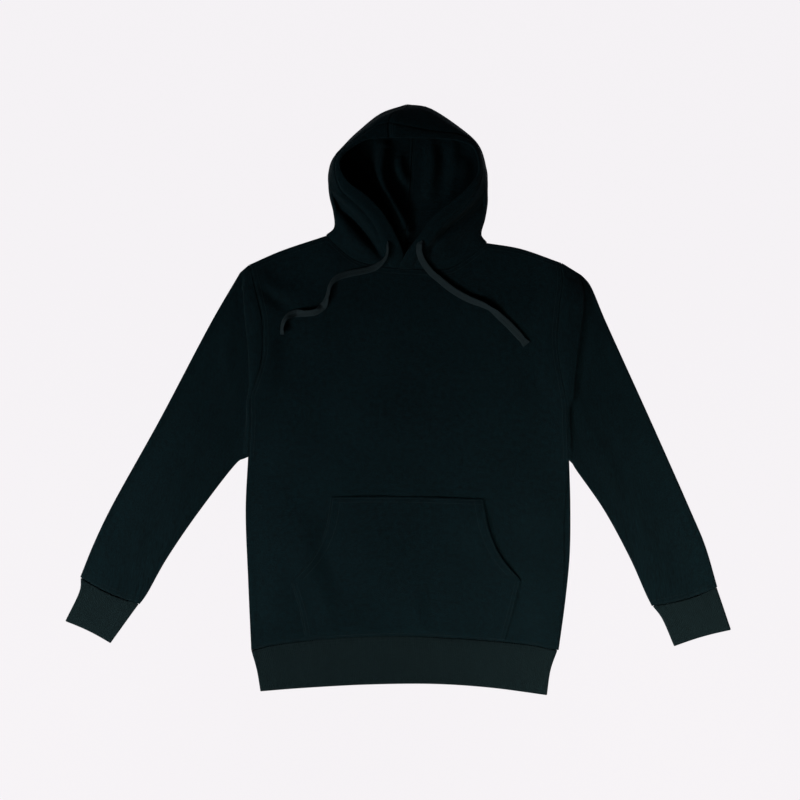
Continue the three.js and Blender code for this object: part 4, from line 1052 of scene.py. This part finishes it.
def body_grid(side_left, armhole_right, armhole_left, neck, step):
    """Flat grid of a body panel, with columns and rows about step apart."""
    lengths = (SHOULDER_LENGTH, NECK_LENGTH, SHOULDER_LENGTH)
    counts = [max(int(length / step), 6) for length in lengths]
    shares = (SHOULDER_SHARE, 1 - 2 * SHOULDER_SHARE, SHOULDER_SHARE)
    columns = grid_lines(list(zip(shares, counts)), BODY_WIDTH)
    row_parts = [(SIDE_SHARE, int(SIDE_LENGTH / step)), (1 - SIDE_SHARE, int(ARMHOLE_LENGTH / step))]
    rows = grid_lines(row_parts, BODY_LENGTH)
    top = joined([line_through([*SHOULDER_RIGHT[:-1], neck[0]]), line_through(neck),
                  line_through([neck[-1], *SHOULDER_LEFT[1:]])], shares)

    def side(seam, armhole):
        return joined([line_through(seam), line_through(armhole[::-1])], [SIDE_SHARE, 1 - SIDE_SHARE])
    foot = line_through([*HEM_SEAM[:-1], side_left[0]])
    return sheet_between(foot, top, side(SIDE_RIGHT, armhole_right), side(side_left, armhole_left),
                         columns, rows)


def with_height(flat, height):
    """A flat grid with heights."""
    return np.concatenate([flat, height[..., None]], axis=-1)


# %% [markdown]
# The front lies over air, so it shows soft creases. The one at the wearer's right shoulder is the
# deepest, where the sleeve's fold pulls at the cloth. The rest are a few broad, low swells.

# %% Creases of the front
FRONT_CREASES = [
    {"rows": [(-104, -150.5), (15, -150.5), (134, -154.5)], "width": 3.5, "rise": 1.3},
    {"rows": [(-236, 192), (-206, 168), (-180, 150)], "width": 9, "rise": -5.0},
    {"rows": [(-232, 200), (-196, 180), (-160, 170)], "width": 12, "rise": 2.2},
    {"rows": [(-215, 120), (-202, 60), (-212, 0)], "width": 12, "rise": 1.2},
    {"rows": [(246, 120), (236, 60), (246, 0)], "width": 12, "rise": 1.2},
    {"rows": [(-70, 232), (-110, 215), (-150, 212)], "width": 14, "rise": 1.0},
    {"rows": [(90, 225), (130, 214), (170, 214)], "width": 14, "rise": 1.0},
    {"rows": [(255, -330), (240, -200), (248, -120)], "width": 16, "rise": 1.0},
]
SHARED_CREASES = [
    {"rows": [(-156, -180), (-148, -250), (-118, -332), (-104, -372)], "width": 17, "rise": 2.4},
    {"rows": [(-122, -190), (-112, -262), (-78, -345)], "width": 17, "rise": -2.2},
    {"rows": [(20, -286), (26, -330), (34, -376)], "width": 11, "rise": 1.5},
    {"rows": [(46, -286), (52, -330), (58, -374)], "width": 11, "rise": -1.6},
    {"rows": [(-190, -240), (-200, -300), (-196, -370)], "width": 22, "rise": 1.6},
    {"rows": [(214, -250), (226, -320), (220, -376)], "width": 20, "rise": 1.6},
    {"rows": [(-60, -60), (40, -36), (150, -50)], "width": 34, "rise": 1.2},
    {"rows": [(-170, -30), (-60, 20), (60, 30)], "width": 30, "rise": -1.0},
]
FRONT_WAVES = [(0.75, 110, 0), (0.24, 34, 1)]
FRONT_SEED = 3
print("creases set by hand", len(FRONT_CREASES) + len(SHARED_CREASES))


def front_relief(x, y):
    """Low swells that the front and what lies on it share."""
    return mixed_waves(x, y, FRONT_SEED, FRONT_WAVES) + creases(x, y, SHARED_CREASES)


# %% Heights of the front
SIDE_DIP = 0.8
SIDE_DIP_WIDTH = 3
FRONT_FADE = 22
FRONT_STEP = 4.6
necks = {
    "front": neck_edge(HEM_STOP, SIDE_STOP, True),
    "back": neck_edge(SIDE_STOP, SEAM_STOP, False),
}
flat = body_grid(SIDE_LEFT_FRONT, ARMHOLE_RIGHT[:, :2], ARMHOLE_LEFT[:, :2], necks["front"],
                 FRONT_STEP)
x, y = flat[..., 0], flat[..., 1]
away = edge_distances(with_height(flat, np.zeros(x.shape)))
inward = np.minimum.reduce([ramp(away[edge] / FRONT_FADE) for edge in away])
height = front_underside(x, y) + FLEECE / 2
height += inward * (front_relief(x, y) + creases(x, y, FRONT_CREASES))
for side in ("right", "left"):
    sunk = -SIDE_DIP * np.exp(-(away[side] / SIDE_DIP_WIDTH) ** 2)
    height += np.where(y > ARMPIT, seam_relief(away[side], away["foot"]), sunk)
height += seam_relief(away["foot"], away["right"], pitch=12)
height += seam_relief(away["top"], away["right"], pitch=14)
front_grid = with_height(flat, height)
print("front rises to", round(float(height.max()), 1), "mm")

# %% Front panel and its stitches
FRONT_STITCHES = (3.2, 9.0)
FRONT_FOOT_STITCHES = 3.0
front, front_face, _ = wall("front_panel", front_grid)
armhole_rows = front_grid[..., 1].mean(axis=1) > ARMPIT + 4
lines = [line_inside(front_face, "top", distance) for distance in FRONT_STITCHES]
for side in ("right", "left"):
    lines += [line_inside(front_face, side, distance)[armhole_rows] for distance in FRONT_STITCHES]
lines.append(line_inside(front_face, "foot", FRONT_FOOT_STITCHES))
sew(front, "body_front", "fleece", seams=[stitches("front_stitches", lines)])

# %% Back panel
BACK_STEP = 8.5
flat = body_grid(SIDE_LEFT_BACK, ARMHOLE_BACK_RIGHT, ARMHOLE_BACK_LEFT, necks["back"], BACK_STEP)
back_grid = with_height(flat, np.full(flat.shape[:2], LOW))
back, _, _ = wall("back_panel", back_grid)
sew(back, "body_back", "fleece")

# %% [markdown]
# ## Pocket
#
# The kangaroo pocket is one panel that lies on the front. Its top and its two feet are sewn down, and
# between them the slanted edges are the hand openings, hemmed and a little proud of the cloth below.

# %% Edges of the pocket
POCKET_TOP = [(-108, -156), (15, -156), (138, -160)]
POCKET_FOOT = [(-151, -384), (10, -378), (174, -388)]
POCKET_RIGHT_FOOT = [(-151, -384), (-160, -338), (-173, -296)]
POCKET_RIGHT_OPENING = [(-173, -296), (-138, -254), (-118, -210), (-108, -156)]
POCKET_LEFT_FOOT = [(174, -388), (187, -340), (199, -292)]
POCKET_LEFT_OPENING = [(199, -292), (167, -254), (147, -208), (138, -160)]
POCKET_FOOT_SHARE = 0.4
POCKET_WIDTH, POCKET_LENGTH = 300, 230
POCKET_COLUMNS = 90
POCKET_FOOT_ROWS, POCKET_OPENING_ROWS = 26, 44
shares = [POCKET_FOOT_SHARE, 1 - POCKET_FOOT_SHARE]
sides = [joined([line_through(foot), line_through(opening)], shares) for foot, opening in (
    (POCKET_RIGHT_FOOT, POCKET_RIGHT_OPENING), (POCKET_LEFT_FOOT, POCKET_LEFT_OPENING))]
columns = grid_lines([(1, POCKET_COLUMNS)], POCKET_WIDTH)
rows = grid_lines([(shares[0], POCKET_FOOT_ROWS), (shares[1], POCKET_OPENING_ROWS)], POCKET_LENGTH)
flat = sheet_between(line_through(POCKET_FOOT), line_through(POCKET_TOP), *sides, columns, rows)
print("pocket grid", flat.shape[0], "by", flat.shape[1])

# %% Heights of the pocket
POCKET_CLEAR = 0.7
POCKET_LIP_RIGHT = -0.4
POCKET_LIP_LEFT = 1.8
POCKET_LIP_WIDTH = 22
POCKET_HEM = 15
POCKET_HEM_HEIGHT = 0.5
POCKET_FADE = 20
POCKET_SEAM_FADE = 14
POCKET_SEAM_DIP = 0.9
OPENING_FADE = 0.12
POCKET_CREASES = [
    {"rows": [(122, -176), (134, -236), (168, -286)], "width": 9, "rise": 0.9},
]
x, y = flat[..., 0], flat[..., 1]
away = edge_distances(with_height(flat, np.zeros(x.shape)))
opening = ramp((rows - POCKET_FOOT_SHARE) / OPENING_FADE) * ramp((1 - rows) / OPENING_FADE)
opening = opening[:, None]
pressed = ramp(away["right"] / (away["right"] + away["left"]) * 3 - 1)
lips = POCKET_LIP_RIGHT + (POCKET_LIP_LEFT - POCKET_LIP_RIGHT) * pressed
from_side = np.minimum(away["right"], away["left"])
lip = lips * opening * ramp(1 - from_side / POCKET_LIP_WIDTH)
past_hem = from_side - POCKET_HEM
hem = POCKET_HEM_HEIGHT * opening * ramp(1 - past_hem / 2.5)
hem -= POCKET_HEM_HEIGHT * opening * np.exp(-(past_hem / 1.8) ** 2)
inward = np.minimum.reduce([ramp(away[edge] / POCKET_FADE) for edge in away])
height = front_underside(x, y) + FLEECE * 1.5 + POCKET_CLEAR + lip + hem
height += ramp(np.minimum(away["foot"], away["top"]) / POCKET_SEAM_FADE) * front_relief(x, y)
height += inward * creases(x, y, POCKET_CREASES)
height += seam_relief(away["top"], away["right"], dip=POCKET_SEAM_DIP, pitch=13)
height += seam_relief(away["foot"], away["right"], dip=POCKET_SEAM_DIP, pitch=11)
sewn = 1 - opening
for side in ("right", "left"):
    height += sewn * seam_relief(away[side], away["foot"], dip=POCKET_SEAM_DIP, pitch=12)
pocket_grid = with_height(flat, height)
print("pocket rises to", round(float(height.max()), 1), "mm")

# %% Pocket panel and its stitches
POCKET_STITCHES = 3.0
POCKET_TOP_STITCHES = 9.0
POCKET_FOOT_STITCHES = 8.5
pocket, pocket_face, _ = wall("pocket_panel", pocket_grid)
open_rows = rows > POCKET_FOOT_SHARE + 0.02
foot_rows = rows < POCKET_FOOT_SHARE + 0.01
lines = [line_inside(pocket_face, "top", distance) for distance in (POCKET_STITCHES, POCKET_TOP_STITCHES)]
for side in ("right", "left"):
    for rows_there, second in ((open_rows, POCKET_HEM), (foot_rows, POCKET_FOOT_STITCHES)):
        lines += [line_inside(pocket_face, side, distance)[rows_there]
                  for distance in (POCKET_STITCHES, second)]
sew(pocket, "pocket", "fleece",
    seams=[stitches("pocket_stitches", lines)])

# %% [markdown]
# ## Sleeves
#
# A sleeve is a flat tube. Its top starts at the armhole seam, runs out along the strip that shows,
# folds under itself and comes out again at its own level, and then runs down to the cuff. Rings of
# points go round the tube: over the top, round the inner edge, back below and round the outer edge.

# %% Lines for tubes
def inset_line(line, inside, distance):
    """A line moved sideways by a distance, towards an inner point."""
    def read(share):
        share = np.atleast_1d(np.asarray(share, float))
        along = line(np.minimum(share + 0.01, 1)) - line(np.maximum(share - 0.01, 0))
        way = np.stack([along[:, 1], -along[:, 0]], axis=-1)
        way /= np.linalg.norm(way, axis=-1, keepdims=True)
        point = line(share)
        facing_in = np.sign(((np.asarray(inside) - point) * way).sum(-1, keepdims=True))
        return point + way * facing_in * distance
    return read


def from_start(line, start, share):
    """A line that leaves from another start and joins its own course further on."""
    share = np.atleast_1d(np.asarray(share, float))
    return line(share) + (np.asarray(start) - line(np.array([0.0]))[0]) * ((1 - share) ** 2)[:, None]


def bowed_line(start, end, bow):
    """A seam between two points, bowed along the sleeve."""
    along = np.subtract(end, start)
    way = np.array([along[1], -along[0]]) / np.linalg.norm(along)
    way = -way if way[1] > 0 else way

    def read(share):
        bowed = np.multiply.outer(np.sin(math.pi * np.asarray(share)), way) * bow
        return start + np.multiply.outer(share, along) + bowed
    return read


# %% Points between two edges
def between(edge_a, edge_b, start, end, across, along):
    """Points between two edges, with what the start and end seams add to a straight line."""
    def bow(line):
        points = line(across)
        ends = line(np.array([0.0, 1.0]))
        return points - (ends[0] * (1 - across[:, None]) + ends[1] * across[:, None])
    mixed = edge_a[:, None] * (1 - across[None, :, None]) + edge_b[:, None] * across[None, :, None]
    along = along[:, None, None]
    return mixed + bow(start)[None] * (1 - along) + bow(end)[None] * along


# %% Rings of a flat tube
BEND_STEPS = np.radians([20, 45, 68, 90, 112, 135, 160])


def flat_rings(top, low):
    """Rings of a flat tube from its top rows and its bottom rows."""
    def edge_way(edge, other):
        along = np.gradient(edge[:, :2], axis=0)
        way = np.stack([along[:, 1], -along[:, 0]], axis=-1)
        way /= np.linalg.norm(way, axis=-1, keepdims=True)
        return -way * np.sign((way * (other - edge)[:, :2]).sum(-1, keepdims=True))

    def bend(high, deep, way):
        rise = (high[:, 2] - deep[:, 2]) / 2
        rings = []
        for turn in BEND_STEPS:
            point = (high + deep) / 2
            point[:, :2] += way * TURN * math.sin(turn)
            point[:, 2] = deep[:, 2] + rise * (1 + math.cos(turn))
            rings.append(point)
        return np.stack(rings, axis=1)
    outer_way, inner_way = edge_way(top[:, 0], top[:, -1]), edge_way(top[:, -1], top[:, 0])
    return np.concatenate([
        top, bend(top[:, -1], low[:, -1], inner_way), low[:, ::-1],
        bend(top[:, 0], low[:, 0], outer_way)[:, ::-1],
    ], axis=1)


# %% Sleeve tables
SLEEVE_RIGHT = {
    "outer": [(-300, 130), (-386, -32), (-467, -178), (-494, -235), (-515, -287)],
    "inner": [(-258, -98), (-321, -178), (-376, -259), (-408, -316), (-419, -331)],
}
SLEEVE_LEFT = {
    "outer": [(308, 189), (334, 130), (408, -32), (473, -178), (497, -235), (517, -303)],
    "inner": [(289, -112), (334, -178), (377, -259), (402, -316), (411, -334)],
}
SEAM_BOW = 4
SEAM_LAP = -0.5
SLEEVE_CREASES_RIGHT = [
    {"rows": [(-262, 178), (-278, 90), (-268, 10)], "width": 13, "rise": 2.0},
    {"rows": [(-250, 0), (-275, -50), (-330, -120)], "width": 14, "rise": 1.4},
    {"rows": [(-250, -60), (-300, -120), (-350, -200)], "width": 12, "rise": -1.2},
    {"rows": [(-330, -40), (-380, -140), (-420, -220)], "width": 26, "rise": 1.0},
    {"rows": [(-410, -180), (-440, -240), (-452, -300)], "width": 16, "rise": -0.9},
]
SLEEVE_CREASES_LEFT = [
    {"rows": [(300, 170), (316, 80), (304, 0)], "width": 13, "rise": 2.0},
    {"rows": [(290, -10), (310, -70), (350, -140)], "width": 14, "rise": 1.4},
    {"rows": [(292, -80), (330, -140), (376, -210)], "width": 12, "rise": -1.2},
    {"rows": [(350, -20), (390, -120), (430, -220)], "width": 26, "rise": 1.0},
    {"rows": [(420, -180), (446, -240), (462, -300)], "width": 16, "rise": -0.9},
]


def cuff_seam(shape):
    """The seam between a sleeve and its cuff."""
    middle = (np.array(shape["outer"][-1]) + np.array(shape["inner"][-1])) / 2
    start = inset_line(line_through(shape["outer"]), middle, EDGE_INSET)(1)[0]
    end = inset_line(line_through(shape["inner"]), middle, EDGE_INSET)(1)[0]
    return bowed_line(start, end, SEAM_BOW)


# %% Sleeve grid
SLEEVE_ROWS = 110
SLEEVE_COLUMNS = 66
SLEEVE_FADE = 24
SLEEVE_SLOPE = 0.12
SLOPE_TOP = 0.14
SLOPE_FOOT, SLOPE_FOOT_STARTS = 0.12, 0.88
SLEEVE_WAVES = [(0.5, 80, 0), (0.14, 28, 5)]


def sleeve_top(armhole, shape, outward, slopes, table, seed):
    """Top rows of a sleeve: through the fold, then down to the cuff seam.

    slopes say how much further the cloth runs down at the shoulder and at the armpit.
    """
    steps = np.linalg.norm(np.diff(armhole[:, :2], axis=0), axis=1)
    at = np.concatenate([[0], np.cumsum(steps)]) / steps.sum()
    inset = EDGE_INSET / steps.sum()
    across = grid_lines([(1, SLEEVE_COLUMNS)], 200)
    rows = read_table(at, armhole, inset + (1 - 2 * inset) * across)
    slope = -SLEEVE_SLOPE - slopes[0] * ramp(1 - across / SLOPE_TOP)
    slope -= slopes[1] * ramp((across - SLOPE_FOOT_STARTS) / SLOPE_FOOT)
    way = np.stack([np.full(slope.shape, outward), slope], axis=-1)
    way /= np.linalg.norm(way, axis=-1, keepdims=True)
    path, _ = fold_profile(*rows[:, 2:].T)
    start = rows[:, :2] + way * SEAM_LAP
    fold = with_height(start[None] + path[:, 0, :, None] * way, HIGH + path[:, 1])
    ends = read_table(at, armhole, np.array([0.0, 1.0]))
    reach = fold_profile(*ends[:, 2:].T)[0][-1, 0]
    leave = ends[:, :2] + way[[0, -1]] * (SEAM_GAP + reach[:, None])
    middle = ((shape["outer"][-1][0] + shape["inner"][0][0]) / 2, -120)
    outer = inset_line(line_through([leave[0], *shape["outer"]]), middle, EDGE_INSET)
    inner = inset_line(line_through([leave[1], *shape["inner"]]), middle, EDGE_INSET)
    along = grid_lines([(1, SLEEVE_ROWS)], 500)[1:]
    emerge = fold[-1, :, :2]

    def emerge_line(share):
        return np.stack([np.interp(share, across, emerge[:, axis]) for axis in (0, 1)], -1)
    down = between(from_start(outer, emerge[0], along), from_start(inner, emerge[-1], along),
                   emerge_line, cuff_seam(shape), across, along)
    x, y = down[..., 0], down[..., 1]
    away = edge_distances(with_height(down, np.zeros(x.shape)))
    inward = np.minimum.reduce([ramp(away[edge] / SLEEVE_FADE) for edge in away])
    relief = inward * (creases(x, y, table) + mixed_waves(x, y, seed, SLEEVE_WAVES))
    relief += seam_relief(away["top"], away["right"], pitch=10)
    return np.concatenate([fold, with_height(down, HIGH + relief)]), across


def sleeve_rings(top, back, shape):
    """Closes the sleeve below its top rows with a flat underside."""
    outer, inner = top[:, 0, :2], top[:, -1, :2]
    run = lengths_along(outer)
    across = np.linspace(0, 1, 30)
    low = between(outer, inner, line_through(back), cuff_seam(shape), across, run / run[-1])
    return flat_rings(top, with_height(low, np.full(low.shape[:2], LOW)))


# %% Both sleeves
SLEEVE_STITCHES = (3.0, 8.5)
for side, outward, armhole, back, shape, slopes, table, seed in (
    ("right", -1, ARMHOLE_RIGHT, ARMHOLE_BACK_RIGHT, SLEEVE_RIGHT, (0.75, 0.3),
     SLEEVE_CREASES_RIGHT, 21),
    ("left", 1, ARMHOLE_LEFT, ARMHOLE_BACK_LEFT, SLEEVE_LEFT, (0.5, 0.85),
     SLEEVE_CREASES_LEFT, 22),
):
    top, across = sleeve_top(armhole, shape, outward, slopes, table, seed)
    grid = sleeve_rings(top, back, shape)
    ways = facing(grid, closed=True)
    ways = ways * np.sign(ways[len(ways) // 2, len(across) // 2, 2])
    sleeve, outer_face, _ = wall("sleeve_tube_" + side, grid, closed=True, normals=ways)
    on_top = outer_face[:, :len(across)]
    lines = [line_inside(on_top, "top", distance) for distance in SLEEVE_STITCHES]
    sew(sleeve, "sleeve_" + side, "fleece",
        seams=[stitches("sleeve_stitches_" + side, lines)])

# %% [markdown]
# ## Ribbed bands
#
# Cuffs and hem band are rings of two-by-two rib: two columns of knit stand up, two lie back. The ribs
# run across the band, and there are so many that they are worked out from one pitch.

# %% Edges of the bands
RIB_RAISE = 0.2
RIB_PITCH = 3
RIB_POINTS = 6
RIB_LOW_SPACING = 8
RIB_ROW_SPACING = 5
BAND_WAVES = 0.4
BAND_WAVE_SIZE = 60
CUFF_GATHER = 0.012
CUFF_RIGHT = {
    "outer": [(-514, -288), (-515, -306), (-539, -358)],
    "inner": [(-420, -331), (-437, -354), (-466, -394)],
}
CUFF_LEFT = {
    "outer": [(516, -303), (523, -324), (539, -372)],
    "inner": [(412, -334), (426, -352), (447, -399)],
}
CUFF_BOW = -2
HEM_EDGE = [(-223, -472), (-160, -467), (-50, -461), (60, -460), (150, -466), (241, -478)]
print("rib pitch", RIB_PITCH, "mm, ribs raised", RIB_RAISE, "mm")


# %% Ribbed ring
def rib_height(turns):
    """Height of the ribs, from 0 in the valley to 1 along the crest."""
    return ramp(0.5 - 0.8 * np.cos(2 * math.pi * turns))


def ribbed_band(name, outer_line, inner_line, start_line, end_line, seed):
    """A ribbed flat tube between four lines. It starts where its sleeve or body ends, with a lap."""
    width = np.linalg.norm(start_line(np.array([0.0])) - start_line(np.array([1.0])))
    length = np.linalg.norm(start_line(np.array([0.5])) - end_line(np.array([0.5])))
    ribs = round(width / RIB_PITCH)
    columns = np.linspace(0, 1, ribs * RIB_POINTS + 1)
    low_columns = np.linspace(0, 1, int(width / RIB_LOW_SPACING))
    lap = SEAM_LAP / length
    along = lap + (1 - lap) * grid_lines([(1, int(length / RIB_ROW_SPACING))], length)
    edges = outer_line(along), inner_line(along)
    top = between(*edges, start_line, end_line, columns, along)
    low = between(*edges, start_line, end_line, low_columns, along)
    x, y = top[..., 0], top[..., 1]
    from_ends = np.minimum(along, 1 - along)[:, None] * length
    from_sides = np.minimum(columns, 1 - columns)[None, :] * width
    inward = ramp(from_ends / 12) * ramp(from_sides / 15)
    height = HIGH + inward * BAND_WAVES * slow_waves(x, y, seed, BAND_WAVE_SIZE)
    height += seam_relief((along * length)[:, None], columns[None, :] * width, pitch=9)
    grid = flat_rings(with_height(top, height), with_height(low, np.full(low.shape[:2], LOW)))
    ways = facing(grid, closed=True)
    ways = ways * np.sign(ways[len(along) // 2, len(columns) // 2, 2])
    plain = np.zeros(len(low_columns) + 2 * len(BEND_STEPS))
    raised = np.concatenate([rib_height(columns * ribs), plain]) * RIB_RAISE
    fade = ramp(from_ends / 3)
    band, outer_face, _ = wall(name, grid, closed=True, normals=ways, over=FLEECE / 2 + raised * fade)
    return band, grid, outer_face[:, :len(columns)]


# %% Lines that meet a seam
def led_from(line, corner):
    """The line of a band's side, led from the corner of its seam."""
    return lambda share: from_start(line, corner, share)


def shortened(line, trim):
    """A line without a share trim at each of its ends."""
    return lambda share: line(trim + (1 - 2 * trim) * np.asarray(share, float))


# %% Cuffs
CUFF_STITCHES = 2.6
for side, shape, sleeve_shape, seed in (
    ("right", CUFF_RIGHT, SLEEVE_RIGHT, 31), ("left", CUFF_LEFT, SLEEVE_LEFT, 32),
):
    inside = [(shape["outer"][1][axis] + shape["inner"][1][axis]) / 2 for axis in (0, 1)]
    start = shortened(cuff_seam(sleeve_shape), CUFF_GATHER)
    corners = start(np.array([0.0, 1.0]))
    outer = inset_line(line_through(shape["outer"]), inside, EDGE_INSET)
    inner = inset_line(line_through(shape["inner"]), inside, EDGE_INSET)
    outer_line, inner_line = led_from(outer, corners[0]), led_from(inner, corners[1])
    end = bowed_line(outer_line(1)[0], inner_line(1)[0], CUFF_BOW)
    band, grid, face = ribbed_band("cuff_ring_" + side, outer_line, inner_line, start, end, seed)
    sew(band, "cuff_" + side, "rib",
        seams=[stitches("cuff_stitches_" + side, [line_inside(face, "foot", CUFF_STITCHES)])])

# %% Hem band
HEM_STITCHES = (2.6, 7.0)
middle = (10, -430)


def trimmed(rows):
    """A line without its ends, where the tube bends round."""
    line = line_through(rows)
    return shortened(line, EDGE_INSET / np.linalg.norm(line(1) - line(0)))


seam, edge = trimmed(HEM_SEAM), trimmed(HEM_EDGE)
right = inset_line(line_through([(-238, -405), (-229, -437), (-223, -472)]), middle, EDGE_INSET)
left = inset_line(line_through([(258, -405), (247, -437), (241, -478)]), middle, EDGE_INSET)
band, grid, face = ribbed_band("hem_ring", led_from(right, seam(0.0)), led_from(left, seam(1.0)),
                               seam, edge, 33)
lines = [line_inside(face, "foot", distance) for distance in HEM_STITCHES]
sew(band, "hem_band", "rib", seams=[stitches("hem_stitches", lines)])

# %% [markdown]
# ## Floor and light
#
# Black cloth on white needs much light from one side, so that its relief shows, and a floor that
# stays white whatever the light does. The floor therefore glows by itself. One lamp stands at the
# lower left, and two weak ones pick out the cuffs.

# %% Floor
FLOOR_HALF = 6.0
FLOOR_LEVEL = -0.0006
floor_mesh = bpy.data.meshes.new("floor")
corners = [(x * FLOOR_HALF, y * FLOOR_HALF, FLOOR_LEVEL) for x, y in ((-1, -1), (1, -1), (1, 1), (-1, 1))]
floor_mesh.from_pydata(corners, [], [(0, 1, 2, 3)])
floor = bpy.data.objects.new("floor", floor_mesh)
bpy.context.scene.collection.objects.link(floor)
paper = bpy.data.materials.new("pale paper")
paper.use_nodes = True
paper_shader = paper.node_tree.nodes["Principled BSDF"]
paper_shader.inputs["Base Color"].default_value = (0.01, 0.01, 0.01, 1)
paper_shader.inputs["Roughness"].default_value = 0.9
paper_shader.inputs["Specular IOR Level"].default_value = 0.0
paper_shader.inputs["Emission Color"].default_value = (0.913, 0.888, 0.913, 1)
paper_shader.inputs["Emission Strength"].default_value = 0.993
floor_mesh.materials.append(paper)

# %% Lights
def soft_light(name, place, aim, size, power, colour, spread=180):
    """A square soft light that looks at a point, with its beam held in to a spread in degrees."""
    data = bpy.data.lights.new(name, "AREA")
    data.shape = "SQUARE"
    data.size = size
    data.energy = power
    data.color = colour
    data.spread = math.radians(spread)
    lamp = bpy.data.objects.new(name, data)
    lamp.location = place
    way = Vector(np.subtract(aim, place))
    lamp.rotation_euler = way.to_track_quat("-Z", "Y").to_euler()
    bpy.context.scene.collection.objects.link(lamp)
    print(name, "of", power, "W")


POOL_SPREAD = 52
soft_light("key from the left", (-2.45, -1.25, 2.15), (0, 0, 0), 0.45, 47, (0.98, 1.0, 1.0))
soft_light("pool at the right cuff", (-1.0, -1.08, 1.2), (-0.54, -0.42, 0), 0.6, 4.3,
           (1.0, 0.88, 0.8), spread=POOL_SPREAD)
soft_light("pool at the left cuff", (0.17, -1.13, 1.15), (0.54, -0.42, 0), 0.6, 4.6,
           (1.0, 0.88, 0.78), spread=POOL_SPREAD)
world = bpy.data.worlds.new("pale room")
world.use_nodes = True
world.node_tree.nodes["Background"].inputs["Color"].default_value = (0.95, 0.97, 1.0, 1)
world.node_tree.nodes["Background"].inputs["Strength"].default_value = 0.022
bpy.context.scene.world = world
bpy.context.scene.view_settings.view_transform = "Standard"
